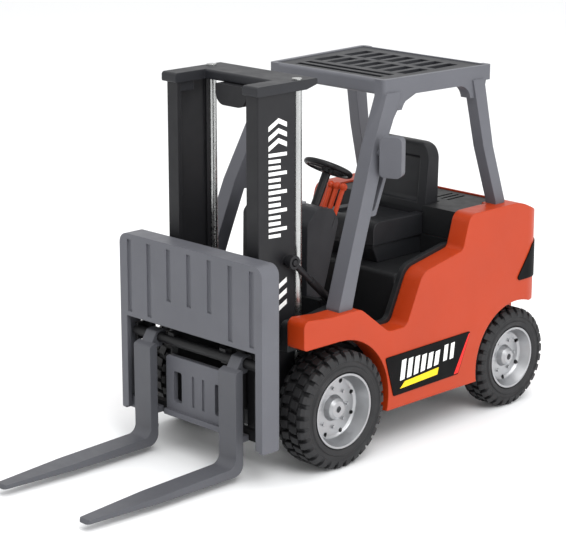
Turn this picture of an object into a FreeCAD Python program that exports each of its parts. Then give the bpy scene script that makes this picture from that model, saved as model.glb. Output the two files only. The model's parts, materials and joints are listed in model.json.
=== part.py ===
"""Toy counterbalance forklift with a tilting mast, lifting forks and a friction drive.

Millimetres.  +X is the truck's left, the forks point along -Y and +Z is up.
Shapes are drawn with Y = 0 at the front axle and Z = 0 on the floor, and every
part is moved along Y at the end, so that the origin lies under the middle of the
whole truck.  Each piece is written to parts/NAME.step.
"""
import FreeCAD
import Part
import math
import os
from FreeCAD import Vector as V

# ---------------------------------------------------------------- driving sizes
WHEELBASE = 112.5
RUN_FIT = 0.08              # radial play of a shaft turning in a hole
GAP = 0.4                   # play between parts that slide or tilt past each other
WALL = 2.0                  # moulded plastic wall

FRONT_TYRE_R = 25.0
FRONT_TYRE_W = 17.0
FRONT_RIM_R = 15.9
FRONT_FACE_X = 49.4         # outer face of the front tyres
REAR_TYRE_R = 22.5
REAR_TYRE_W = 13.5
REAR_RIM_R = 13.9
REAR_FACE_X = 45.6
AXLE_R = 1.5
ARCH_GAP = 4.3              # tyre tread to wheel arch

BODY_HALF_W = 46.4
BODY_TOP = 94.0
BODY_REAR = WHEELBASE + 18.3
FENDER_TOP = 65.5
FENDER_FRONT = -21.0
LAMP_FRONT = BODY_REAR - 18.8
SADDLE_Z = 52.4             # lowest point of the body side, where one steps in
SILL_Z = 17.6
TUB_HALF_W = 36.8
REAR_CENTRE_HALF_W = 29.0   # body between the rear wheels
FLOOR_Z = 48.0
SEAT_BOX_Z = 72.0
SEAT_BOX_FRONT = 45.0
SEAT_BOX_REAR = 81.0
BULKHEAD_Y = 7.0

BASE_Z = 15.4
BASE_T = 2.2
BASE_HALF_W = 37.5
BRACKET_X = 28.0            # inner face of the side brackets that carry both axles
BRACKET_T = 2.4

MAST_OUT_X = 27.0
MAST_IN_X = 20.3
MAST_FRONT = -27.7
MAST_REAR = -6.5
MAST_TOP = 156.0
MAST_FOOT = 14.6
RAIL_T = 2.0
RAIL_LIP = 1.2                 # how far the rear flange of a rail stands in from its web
MAST_PIVOT_Y = -17.0
MAST_PIVOT_Z = 20.0
PIVOT_R = 1.5
LIFT_ROD_R = 2.1
LIFT_ROD_X = 25.2
LIFT_ROD_Y = -4.2
LIFT_ROD_FOOT = 34.0
CROSSHEAD_T = 4.0
CROSSHEAD_REAR = 4.4
PULLEY_FRONT = -17.0

STRUT_X = 30.7              # middle plane of the tilt cylinders
STRUT_W = 3.4
STRUT_MAST_Y = -12.0
STRUT_MAST_Z = 87.0
STRUT_BODY_Y = 16.0
STRUT_BODY_Z = 61.0
STRUT_PIN_R = 1.2
STRUT_ROD_R = 1.3
STRUT_BARREL_R = 2.5
STRUT_BARREL_L = 24.0
OPEN_PIVOT = 0.45           # radial play of the rod eye on the mast pin

BACKREST_FRONT = -41.2
BACKREST_HALF_W = 43.0
BACKREST_BOTTOM = 56.5
BACKREST_TOP = 92.0
BACKREST_T = 2.6
BACKREST_DEPTH = 9.5
STILE_FOOT = 14.6
STILE_LIP = 4.0
GROOVE_PITCH = 12.3
GROOVE_W = 2.6
GROOVE_DEPTH = 0.9

PLATE_FRONT = -36.5
PLATE_T = 2.4
PLATE_HALF_W = 19.8
PLATE_BOTTOM = 16.5
PLATE_TOP = 42.5
FORK_BAR_Y = -36.4
FORK_BAR_Z = 49.2
FORK_BAR_R = 2.2
FORK_BAR_HALF_L = 38.4
CARRIAGE_REAR = -9.2
LOW_BAR_BOTTOM = 16.6
LOW_BAR_TOP = 21.0
LIFT_TRAVEL = 72.0

FORK_X = 26.0
FORK_W = 10.2
FORK_TIP = -119.9
FORK_FRONT = -44.4
FORK_T = 4.0
FORK_BOTTOM = 3.2
FORK_TIP_T = 1.6
FORK_TIP_W = 5.6

FRONT_POST_IN = 36.2
FRONT_POST_OUT = 43.6
FRONT_POST_FRONT = 1.8
FRONT_POST_REAR = 9.8
FRONT_POST_FOOT = 61.0
ROOF_Z = 155.6
ROOF_FRONT = 37.7
ROOF_REAR = 101.7
ROOF_HALF_FRONT = 33.9
ROOF_HALF_REAR = 38.2
ROOF_BEAM_W = 5.4
ROOF_BEAM_H = 7.4
ROOF_RIM = 2.7                 # visible width of the frame round the roof grille
GRILLE_T = 2.0

WHEEL_Y = 40.0
WHEEL_Z = 113.4
STEER_R = 11.0
STEER_TUBE_R = 1.25
STEER_LEAN = 28.0           # degrees between the steering column and the vertical
COLUMN_R = 1.9
COLUMN_L = 26.0
LEVER_X = (11.0, 14.6, 18.2)
LEVER_BALL_R = 1.7

SEAT_HALF_W = 17.5
SEAT_FRONT = 50.0
SEAT_REAR = 90.0
CUSHION_BOTTOM = 80.0
CUSHION_TOP = 90.5
SEAT_BACK_TOP = 120.0

HATCH_Z = 80.6                 # lower edge of the cover behind the seat
HATCH_FRONT = 81.0
HATCH_STEP_Y = 101.5           # where the opening narrows to pass between the rear posts
HATCH_REAR = BODY_REAR - 18.5
HATCH_NARROW_W = 34.5

GEAR_MODULE = 0.6
GEAR_TEETH = 24
PINION_TEETH = 10
GEAR_W = 3.2
GEAR_PLAY = 0.14            # taken off each tooth flank
SHAFT_R = 1.0
IDLER_ANGLE = 120.0         # direction from the rear axle to the idler, from +Y
FLYWHEEL_ANGLE = 160.0      # direction from the idler to the flywheel
FLYWHEEL_R = 8.6
FLYWHEEL_W = 5.0
GEARBOX_HALF_W = 6.8
GEARBOX_FRONT = WHEELBASE - 21.0
GEARBOX_REAR = WHEELBASE + 10.0

CELL_R = 5.8
CELL_H = 5.4
CELL_PITCH = 13.0
BATTERY_Y = 64.0
SPEAKER_R = 11.0
SPEAKER_H = 4.6
SPEAKER_Y = 24.0
BOARD_T = 1.2
BOARD_Z = 31.0
BUTTON_R = 4.0
BUTTON_Y = 102.0
BUTTON_TRAVEL = 1.5
SWITCH_TRAVEL = 3.0
SWITCH_X = -27.0
SWITCH_Y = 50.0
BULB_R = 2.0
BULB_Z = 66.0
REAR_SCREW_Y = WHEELBASE + 11.0
SCREW_R = 1.1
SCREW_HEAD_R = 2.1

# ------------------------------------------------------------------ derived sizes
REAR_AXLE_Z = REAR_TYRE_R
FRONT_AXLE_Z = FRONT_TYRE_R
REAR_END = WHEELBASE + REAR_TYRE_R
Y_MID = (FORK_TIP + REAR_END) / 2
BASE_TOP = BASE_Z + BASE_T
GEAR_CENTRES = GEAR_MODULE * (GEAR_TEETH + PINION_TEETH) / 2
FRONT_ARCH_R = FRONT_TYRE_R + ARCH_GAP
REAR_ARCH_R = REAR_TYRE_R + ARCH_GAP
TUB_POSTS = [(26.0, 36.0), (-26.0, 36.0), (30.0, 77.0), (-30.0, 77.0)]
SCREWS = TUB_POSTS + [(22.0, REAR_SCREW_Y), (-22.0, REAR_SCREW_Y)]
NODES = {}


# ------------------------------------------------------------------------ helpers
def block(x0, x1, y0, y1, z0, z1):
    """Box between two corners."""
    return Part.makeBox(x1 - x0, y1 - y0, z1 - z0, V(x0, y0, z0))


def rod_x(radius, x0, x1, y, z):
    """Cylinder along X."""
    return Part.makeCylinder(radius, x1 - x0, V(x0, y, z), V(1, 0, 0))


def rod_y(radius, y0, y1, x, z):
    """Cylinder along Y."""
    return Part.makeCylinder(radius, y1 - y0, V(x, y0, z), V(0, 1, 0))


def rod_z(radius, z0, z1, x, y):
    """Cylinder along Z."""
    return Part.makeCylinder(radius, z1 - z0, V(x, y, z0), V(0, 0, 1))


def fuse(first, *others):
    """One solid from touching or overlapping shapes."""
    return first.multiFuse(list(others)).removeSplitter()


def cut(shape, *tools):
    """The shape with every tool taken away."""
    return shape.cut(Part.makeCompound(list(tools)))


def mirror_x(shape):
    """The same piece on the other side of the truck."""
    return shape.mirror(V(0, 0, 0), V(1, 0, 0))


def pair(shape):
    """A left piece and its mirror image, kept as separate solids."""
    return Part.makeCompound([shape, mirror_x(shape)])


def both(shape):
    """A left shape and its mirror image, to cut with."""
    return [shape, mirror_x(shape)]


def face(corners, place):
    """Flat face through corners (u, v) or (u, v, radius), each rounded by a tangent arc."""
    flat = [V(c[0], c[1], 0) for c in corners]
    radii = [c[2] if len(c) > 2 else 0 for c in corners]
    ends = []
    for i, here in enumerate(flat):
        to_last = (flat[i - 1] - here).normalize()
        to_next = (flat[(i + 1) % len(flat)] - here).normalize()
        if radii[i] == 0:
            ends.append((here, None, here))
            continue
        half = to_last.getAngle(to_next) / 2
        reach = radii[i] / math.tan(half)
        middle = (to_last + to_next).normalize() * (radii[i] / math.sin(half) - radii[i])
        ends.append((here + to_last * reach, here + middle, here + to_next * reach))
    edges = []
    for i, (start, middle, stop) in enumerate(ends):
        if middle is not None:
            edges.append(Part.Arc(place(start), place(middle), place(stop)).toShape())
        following = ends[(i + 1) % len(ends)][0]
        if (following - stop).Length > 1e-6:
            edges.append(Part.LineSegment(place(stop), place(following)).toShape())
    return Part.Face(Part.Wire(edges))


def side_slab(corners, x0, x1):
    """Outline in (y, z), as seen from the side, from x0 to x1."""
    return face(corners, lambda p: V(x0, p.x, p.y)).extrude(V(x1 - x0, 0, 0))


def front_slab(corners, y0, y1):
    """Outline in (x, z), as seen from the front, from y0 to y1."""
    return face(corners, lambda p: V(p.x, y0, p.y)).extrude(V(0, y1 - y0, 0))


def plan_slab(corners, z0, z1):
    """Outline in (x, y), as seen from above, from z0 to z1."""
    return face(corners, lambda p: V(p.x, p.y, z0)).extrude(V(0, 0, z1 - z0))


def turned(profile, y, z):
    """Solid of revolution about an axis along X through (y, z), from (x, radius) corners."""
    flat = face(profile, lambda p: V(p.x, y, z + p.y))
    return flat.revolve(V(0, y, z), V(1, 0, 0), 360)


def loft(sections):
    """Straight-sided solid through horizontal rectangles (x0, x1, y0, y1, z)."""
    wires = []
    for x0, x1, y0, y1, z in sections:
        loop = [V(x0, y0, z), V(x1, y0, z), V(x1, y1, z), V(x0, y1, z), V(x0, y0, z)]
        wires.append(Part.makePolygon(loop))
    return Part.makeLoft(wires, True, True)


def tilted(shape, angle, y, z):
    """The shape turned about an axis along X through (y, z), in degrees."""
    return shape.copy().rotate(V(0, y, z), V(1, 0, 0), angle)


def involute_gear(teeth, x0, width, y, z, phase):
    """Spur gear along X with involute flanks, thinned by GEAR_PLAY; phase in radians."""
    pitch_r = GEAR_MODULE * teeth / 2
    base_r = pitch_r * math.cos(math.radians(20))
    tip_r = pitch_r + 0.85 * GEAR_MODULE
    root_r = pitch_r - 1.15 * GEAR_MODULE

    def spread(radius):
        roll = math.sqrt(max((radius / base_r) ** 2 - 1, 0))
        return roll - math.atan(roll)

    half_at_pitch = math.pi / (2 * teeth) - GEAR_PLAY / (2 * pitch_r)
    flank_from = max(base_r, root_r)
    steps = 4
    radii = [flank_from + (tip_r - flank_from) * i / steps for i in range(steps + 1)]
    flank = [(r, half_at_pitch + spread(pitch_r) - spread(r)) for r in radii]
    flank.insert(0, (root_r, flank[0][1]))
    points = []
    for tooth in range(teeth):
        centre = phase + 2 * math.pi * tooth / teeth
        rising = [(r, centre - a) for r, a in flank]
        falling = [(r, centre + a) for r, a in reversed(flank)]
        points += [V(x0, y + r * math.cos(a), z + r * math.sin(a)) for r, a in rising + falling]
    points.append(points[0])
    return Part.Face(Part.makePolygon(points)).extrude(V(width, 0, 0))


# ------------------------------------------------------------------------- wheels
def tyre(radius, width, bore, outer_x, y, z):
    """Tyre with a bulged side wall, its outer face at outer_x."""
    inner_x = outer_x - width
    side = (radius + bore) / 2
    shoulder = 0.18 * width
    profile = [
        (inner_x + 1.2, bore), (inner_x, side, 4.0), (inner_x + 0.4, radius - 2.2, 1.6),
        (inner_x + shoulder, radius, 2.0), (outer_x - shoulder, radius, 2.0),
        (outer_x - 0.4, radius - 2.2, 1.6), (outer_x, side, 4.0), (outer_x - 1.2, bore),
    ]
    return turned(profile, y, z)


def rim(radius, width, outer_x, y, z, nuts):
    """Deep-dish wheel centre with a hub, a ring of wheel nuts and oval hand holes."""
    inner_x = outer_x - width
    lip = outer_x - 0.6
    dish = outer_x - 0.42 * width
    hub_r = 0.34 * radius
    web = 1.8
    wall = 1.3
    sleeve_end = inner_x - 1.4
    profile = [
        (sleeve_end, AXLE_R), (sleeve_end, hub_r - 1.5), (dish - web, hub_r - 1.5),
        (dish - web, radius - wall - 1.4), (inner_x + 1.2, radius - wall), (inner_x + 1.2, radius),
        (lip, radius), (lip, radius - 0.9), (dish + 0.6, radius - wall - 1.6, 0.8),
        (dish, radius - wall - 2.6), (dish, hub_r + 0.2), (dish + 2.4, hub_r - 0.8, 0.5),
        (dish + 3.4, hub_r - 2.0), (dish + 3.4, AXLE_R * 0.9), (dish + 1.2, AXLE_R * 0.9),
        (dish + 1.2, AXLE_R),
    ]
    wheel = turned(profile, y, z)
    nut_circle = 0.52 * radius
    hole_circle = 0.73 * radius
    studs = []
    holes = []
    for i in range(nuts):
        angle = 2 * math.pi * i / nuts
        beside = angle + math.pi / nuts
        studs.append(rod_x(0.75, dish - 0.4, dish + 0.9,
                           y + nut_circle * math.cos(angle), z + nut_circle * math.sin(angle)))
        holes.append(rod_x(0.95, dish - web - 1, dish + 1,
                           y + hole_circle * math.cos(beside), z + hole_circle * math.sin(beside)))
    return cut(fuse(wheel, *studs), *holes)


def wheels():
    """Tyres, rims and axles; the left ones are mirrored for the right side."""
    front = ("front", FRONT_TYRE_R, FRONT_TYRE_W, FRONT_RIM_R, FRONT_FACE_X, 0.0, 8)
    rear = ("rear", REAR_TYRE_R, REAR_TYRE_W, REAR_RIM_R, REAR_FACE_X, WHEELBASE, 6)
    for name, radius, width, rim_r, face_x, y, nuts in (front, rear):
        left_tyre = tyre(radius, width, rim_r, face_x, y, radius)
        left_rim = rim(rim_r, width, face_x, y, radius, nuts)
        NODES[f"{name}_tyre_left"] = left_tyre
        NODES[f"{name}_tyre_right"] = mirror_x(left_tyre)
        NODES[f"{name}_rim_left"] = left_rim
        NODES[f"{name}_rim_right"] = mirror_x(left_rim)
        end = face_x - 0.42 * width + 1.2
        NODES[f"{name}_axle"] = rod_x(AXLE_R, -end, end, y, radius)


# --------------------------------------------------------------------------- body
def flank_line(shift_y, shift_z):
    """Top line of the body side, from the fender's rear shoulder to the rear deck."""
    line = [
        (12.0, FENDER_TOP, 6.0), (29.0, SADDLE_Z, 7.0), (40.0, SADDLE_Z, 4.0),
        (50.0, 74.0, 8.0), (75.5, 79.0, 3.0), (80.0, BODY_TOP, 5.0),
    ]
    return [(y + shift_y, z + shift_z, r) for y, z, r in line]


def body_shell():
    """Orange body: fenders, sills, flanks and counterweight, hollow from below."""
    side = [(FENDER_FRONT, 54.4, 1.5), (FENDER_FRONT, FENDER_TOP + 1.5, 3.0), (-6.0, FENDER_TOP, 12.0)]
    side += flank_line(0, 0)
    side += [(BODY_REAR - 16.8, BODY_TOP, 20.0), (BODY_REAR - 2.2, BODY_TOP - 6.5, 8.0), (BODY_REAR, 60.0, 20.0),
             (BODY_REAR, SILL_Z), (0.0, SILL_Z), (0.0, 54.4)]
    shell = side_slab(side, -BODY_HALF_W, BODY_HALF_W)
    corner = BODY_REAR - 11.0
    keep = plan_slab([(-BODY_HALF_W, FENDER_FRONT - 1), (BODY_HALF_W, FENDER_FRONT - 1),
                      (BODY_HALF_W, BODY_REAR, 11.0), (-BODY_HALF_W, BODY_REAR, 11.0)], 0, 200)
    shell = shell.common(keep)
    cab = block(-TUB_HALF_W, TUB_HALF_W, FENDER_FRONT - 5, 81.5, 0, 120)
    arch_x = REAR_CENTRE_HALF_W
    front_arch = rod_x(FRONT_ARCH_R, TUB_HALF_W - 1, BODY_HALF_W + 1, 0, FRONT_AXLE_Z)
    front_open = block(TUB_HALF_W - 1, BODY_HALF_W + 1, FENDER_FRONT - 5, 0, 0, 54.4)
    rear_arch = rod_x(REAR_ARCH_R, arch_x, BODY_HALF_W + 1, WHEELBASE, REAR_AXLE_Z)
    rear_open = block(arch_x, BODY_HALF_W + 1, WHEELBASE, BODY_REAR + 1, 0, REAR_AXLE_Z + REAR_ARCH_R - 1.6)
    door = block(TUB_HALF_W - 1, BODY_HALF_W - WALL, FRONT_ARCH_R + WALL,
                 WHEELBASE - REAR_ARCH_R - WALL, 0, SADDLE_Z - WALL - 1)
    flank = side_slab([(46.0, 48.0), (54.5, 70.0), (79.5, 75.5), (83.0, 48.0)], TUB_HALF_W - 1, BODY_HALF_W - WALL)
    arch_top = REAR_AXLE_Z + REAR_ARCH_R + WALL
    boot = side_slab([(83.5, arch_top), (83.5, BODY_TOP - WALL), (BODY_REAR - 22.8, BODY_TOP - WALL), (corner, BODY_TOP - 9),
                      (corner, arch_top)], -BODY_HALF_W + WALL, BODY_HALF_W - WALL)
    boot_low = block(-arch_x + WALL, arch_x - WALL, 83.5, BODY_REAR - WALL, 0, BODY_TOP - WALL - 6)
    hatch = hatch_plan(0, HATCH_Z - 1.0, BODY_TOP + 5)
    seat_slot = block(-SEAT_HALF_W - GAP, SEAT_HALF_W + GAP, 81, 92.5, CUSHION_BOTTOM - GAP, BODY_TOP + 5)
    axle_slot = fuse(block(arch_x - WALL - 1, arch_x + 1, WHEELBASE - 3, WHEELBASE + 3, 0, REAR_AXLE_Z),
                     rod_x(3, arch_x - WALL - 1, arch_x + 1, WHEELBASE, REAR_AXLE_Z))
    lamps = both(side_slab([(LAMP_FRONT, 58.5, 1.2), (BODY_REAR + 5, 58.5), (BODY_REAR + 5, 76.0),
                            (LAMP_FRONT + 11.0, 73.5, 1.5)], BODY_HALF_W - 14, BODY_HALF_W + 1))
    shell = cut(shell, cab, boot, boot_low, hatch, *both(front_arch), *both(front_open),
                *both(rear_arch), *both(rear_open), *both(door), *both(flank), seat_slot, *both(axle_slot))
    posts = [rod_z(3.0, BASE_TOP, BODY_TOP - WALL - 5.5, s * 22, REAR_SCREW_Y) for s in (1, -1)]
    bar = block(-25, 25, REAR_SCREW_Y - 1.0, BODY_REAR - 1, 60, 63)
    shell = fuse(shell, bar, *posts)
    pilots = [rod_z(SCREW_R, 0, BASE_TOP + 12, s * 22, REAR_SCREW_Y) for s in (1, -1)]
    pads = [plan_slab([(s * 35.6, 102.6), (s * 41.4, 102.6), (s * 41.4, 108.6), (s * 35.6, 108.6)],
                      BODY_TOP - 6, BODY_TOP + 1) for s in (1, -1)]
    lamp_seats = [lamp.common(cut(block(-60, 60, LAMP_FRONT - 12, BODY_REAR + 10, 50, 80), rear_skin(1.6))) for lamp in lamps]
    bulb_bores = both(rod_y(BULB_R, corner - 1, BODY_REAR, BODY_HALF_W - 10.5, BULB_Z))
    NODES["body_shell"] = cut(shell, *pilots, *pads, *lamp_seats, *bulb_bores, *front_post_pockets())


def hatch_plan(inset, z0, z1):
    """Slab that fills the opening in the rear deck behind the seat, between the roof posts."""
    wide = TUB_HALF_W - inset
    narrow = HATCH_NARROW_W - inset
    step = HATCH_STEP_Y - inset
    front = HATCH_FRONT + inset
    rear = HATCH_REAR - inset
    return plan_slab([(-wide, front), (wide, front), (wide, step), (narrow, step), (narrow, rear),
                      (-narrow, rear), (-narrow, step), (-wide, step)], z0, z1)


def rear_skin(depth):
    """Inside of the rear body's skin, everything deeper than depth below the surface."""
    w = BODY_HALF_W - depth
    return plan_slab([(-w, 80), (w, 80), (w, BODY_REAR - depth, 11.0 - depth),
                      (-w, BODY_REAR - depth, 11.0 - depth)], 40, 90)


def front_post_pockets():
    """Pockets in the fender tops for the feet of the front roof posts."""
    return both(block(FRONT_POST_IN, FRONT_POST_OUT, FRONT_POST_FRONT, FRONT_POST_REAR, FRONT_POST_FOOT, FENDER_TOP + 3))


def tail_lamps():
    """Dark wrap-round lamp surrounds at the rear corners, with a red lens behind each."""
    inner = rear_skin(1.6)
    outer = rear_skin(-0.5)
    zone = side_slab([(LAMP_FRONT, 58.5, 1.2), (BODY_REAR + 5, 58.5), (BODY_REAR + 5, 76.0),
                      (LAMP_FRONT + 11.0, 73.5, 1.5)], BODY_HALF_W - 14, BODY_HALF_W + 1)
    wrap = cut(zone.common(outer), inner)
    lens_zone = block(BODY_HALF_W - 12.5, BODY_HALF_W - 5.5, BODY_REAR - 6, BODY_REAR + 2, 60.5, 72)
    NODES["tail_lamp_surrounds"] = pair(cut(wrap, lens_zone))
    NODES["tail_lamp_lenses"] = pair(wrap.common(lens_zone))


def side_panels():
    """Thin dark panels stuck on the doors, which slant like the wheel arches beside them."""
    outline = [(27.0, 41.2, 0.8), (81.5, 41.8, 0.8), (73.5, 24.0, 0.8), (32.2, 23.4, 0.8)]
    NODES["side_panels"] = pair(side_slab(outline, BODY_HALF_W, BODY_HALF_W + 0.4))


def base_plate():
    """Floor pan with the axle brackets, wheel-well walls, battery tray and sound holes."""
    rear_y = BODY_REAR - WALL - GAP
    side_x = BRACKET_X + BRACKET_T
    well_x = REAR_CENTRE_HALF_W - WALL - GAP
    pan = plan_slab([(-BRACKET_X, BULKHEAD_Y), (BRACKET_X, BULKHEAD_Y), (side_x, BULKHEAD_Y),
                     (side_x, FRONT_ARCH_R), (BASE_HALF_W, FRONT_ARCH_R + 3),
                     (BASE_HALF_W, WHEELBASE - REAR_ARCH_R - 2), (well_x, WHEELBASE - REAR_ARCH_R),
                     (well_x, rear_y), (-well_x, rear_y), (-well_x, WHEELBASE - REAR_ARCH_R),
                     (-BASE_HALF_W, WHEELBASE - REAR_ARCH_R - 2), (-BASE_HALF_W, FRONT_ARCH_R + 3),
                     (-side_x, FRONT_ARCH_R), (-side_x, BULKHEAD_Y)], BASE_Z, BASE_TOP)
    front_ear = side_slab([(MAST_PIVOT_Y - 4.5, BASE_Z, 3), (MAST_PIVOT_Y - 4.5, 25, 3), (-5, 31, 3),
                           (6, 31, 3), (14, BASE_TOP), (14, BASE_Z)], BRACKET_X, side_x)
    rear_ear = side_slab([(WHEELBASE - 6.5, BASE_Z), (WHEELBASE - 5, REAR_AXLE_Z + 5.5, 2),
                          (WHEELBASE + 5, REAR_AXLE_Z + 5.5, 2), (WHEELBASE + 6.5, BASE_Z)],
                         well_x - BRACKET_T, well_x)
    tray_w = 1.5 * CELL_PITCH + 1.6
    tray = block(-tray_w, tray_w, BATTERY_Y - 8, BATTERY_Y + 8, BASE_Z, BASE_TOP + CELL_H + 3)
    ring = cut(rod_z(SPEAKER_R + 1.6, BASE_TOP, BASE_TOP + SPEAKER_H, 0, SPEAKER_Y),
               rod_z(SPEAKER_R, BASE_TOP - 1, BASE_TOP + 9, 0, SPEAKER_Y))
    posts = [rod_z(2.4, BASE_TOP, BOARD_Z, x, y) for x in (-15, 15) for y in (40, 50)]
    whole = fuse(pan, *both(front_ear), *both(rear_ear), tray, ring, *posts)
    cells = [rod_z(CELL_R + 0.3, BASE_Z + 1.7, BASE_TOP + CELL_H + 1.5, x, BATTERY_Y)
             for x in (-CELL_PITCH, 0, CELL_PITCH)]
    door = block(-tray_w + 1, tray_w - 1, BATTERY_Y - 7, BATTERY_Y + 7, BASE_Z - 1, BASE_Z + 1.7)
    holes = [rod_z(0.9, BASE_Z - 1, BASE_TOP + 1, 6 * math.cos(a), SPEAKER_Y + 6 * math.sin(a))
             for a in (math.pi / 4 * i for i in range(8))]
    holes.append(rod_z(0.9, BASE_Z - 1, BASE_TOP + 1, 0, SPEAKER_Y))
    fixings = [rod_z(SCREW_R + GAP, BASE_Z - 1, BASE_TOP + 1, x, y) for x, y in SCREWS]
    sinks = [rod_z(SCREW_HEAD_R + GAP, BASE_Z - 1, BASE_Z + 1.1, x, y) for x, y in SCREWS]
    bores = [rod_x(AXLE_R + RUN_FIT, -40, 40, 0, FRONT_AXLE_Z),
             rod_x(AXLE_R + RUN_FIT, -40, 40, WHEELBASE, REAR_AXLE_Z),
             rod_x(PIVOT_R, -40, 40, MAST_PIVOT_Y, MAST_PIVOT_Z)]
    gearbox_gap = block(-GEARBOX_HALF_W - GAP, GEARBOX_HALF_W + GAP, GEARBOX_FRONT - GAP,
                        GEARBOX_REAR + GAP, BASE_Z - 1, BASE_TOP + 1)
    switch_gap = block(SWITCH_X - 1.6, SWITCH_X + 1.6, SWITCH_Y - 1.6, SWITCH_Y + 1.6 + SWITCH_TRAVEL,
                       BASE_Z - 1, BASE_TOP + 1)
    NODES["base_plate"] = cut(whole, door, *cells, *holes, *fixings, *sinks, *bores, gearbox_gap,
                              switch_gap)
    cover = block(-tray_w + 1 + GAP, tray_w - 1 - GAP, BATTERY_Y - 7 + GAP, BATTERY_Y + 7 - GAP,
                  BASE_Z, BASE_Z + 1.6)
    ribs = [block(x, x + 1.0, BATTERY_Y - 4, BATTERY_Y + 4, BASE_Z - 0.4, BASE_Z) for x in (8, 10.5, 13)]
    NODES["battery_cover"] = fuse(cover, *ribs)
    NODES["button_cells"] = Part.makeCompound(
        [fuse(rod_z(CELL_R, BASE_Z + 1.6, BASE_Z + 0.6 + CELL_H, x, BATTERY_Y),
              rod_z(CELL_R - 1, BASE_Z + 0.6 + CELL_H, BASE_Z + 1.6 + CELL_H, x, BATTERY_Y))
         for x in (-CELL_PITCH, 0, CELL_PITCH)])


def electrics():
    """Speaker, circuit board, lamps, on-off switch and sound button."""
    magnet = rod_z(6.0, BASE_TOP + 2.6, BASE_TOP + SPEAKER_H, 0, SPEAKER_Y)
    NODES["speaker"] = fuse(rod_z(SPEAKER_R, BASE_TOP, BASE_TOP + 2.6, 0, SPEAKER_Y), magnet)
    board = block(-18, 18, 37, 53, BOARD_Z, BOARD_Z + BOARD_T)
    chip = rod_z(4.0, BOARD_Z + BOARD_T, BOARD_Z + BOARD_T + 1.6, -6, 45)
    can = rod_z(2.5, BOARD_Z + BOARD_T, BOARD_Z + BOARD_T + 6, 8, 46)
    small = block(-12, 12, 94.6, 109.6, BODY_TOP - 15, BODY_TOP - 13.6)
    contact = block(-3, 3, BUTTON_Y - 3, BUTTON_Y + 3, BODY_TOP - 13.6, BODY_TOP - 10.4)
    plunger = rod_z(1.6, BODY_TOP - 10.4, BODY_TOP - 8.2, 0, BUTTON_Y)
    NODES["circuit_boards"] = Part.makeCompound([fuse(board, chip, can), fuse(small, contact, plunger)])
    bulbs = []
    for s in (1, -1):
        x = s * (BODY_HALF_W - 10.5)
        bulbs.append(fuse(rod_y(BULB_R - 0.5, BODY_REAR - 8.4, BODY_REAR - 4.4, x, BULB_Z),
                          rod_y(BULB_R, BODY_REAR - 10.0, BODY_REAR - 8.4, x, BULB_Z)))
        bulbs.append(rod_z(BULB_R, BASE_TOP, BASE_TOP + 3.4, s * 20, 86))
    NODES["lamp_bulbs"] = Part.makeCompound(bulbs)
    knob = block(SWITCH_X - 1.2, SWITCH_X + 1.2, SWITCH_Y - 1.2, SWITCH_Y + 1.2, BASE_Z - 0.8, BASE_TOP + GAP)
    slider = block(SWITCH_X - 2.6, SWITCH_X + 2.6, SWITCH_Y - 2.6, SWITCH_Y + 2.6, BASE_TOP + GAP, BASE_TOP + 1.8)
    NODES["power_switch"] = fuse(knob, slider)


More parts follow.
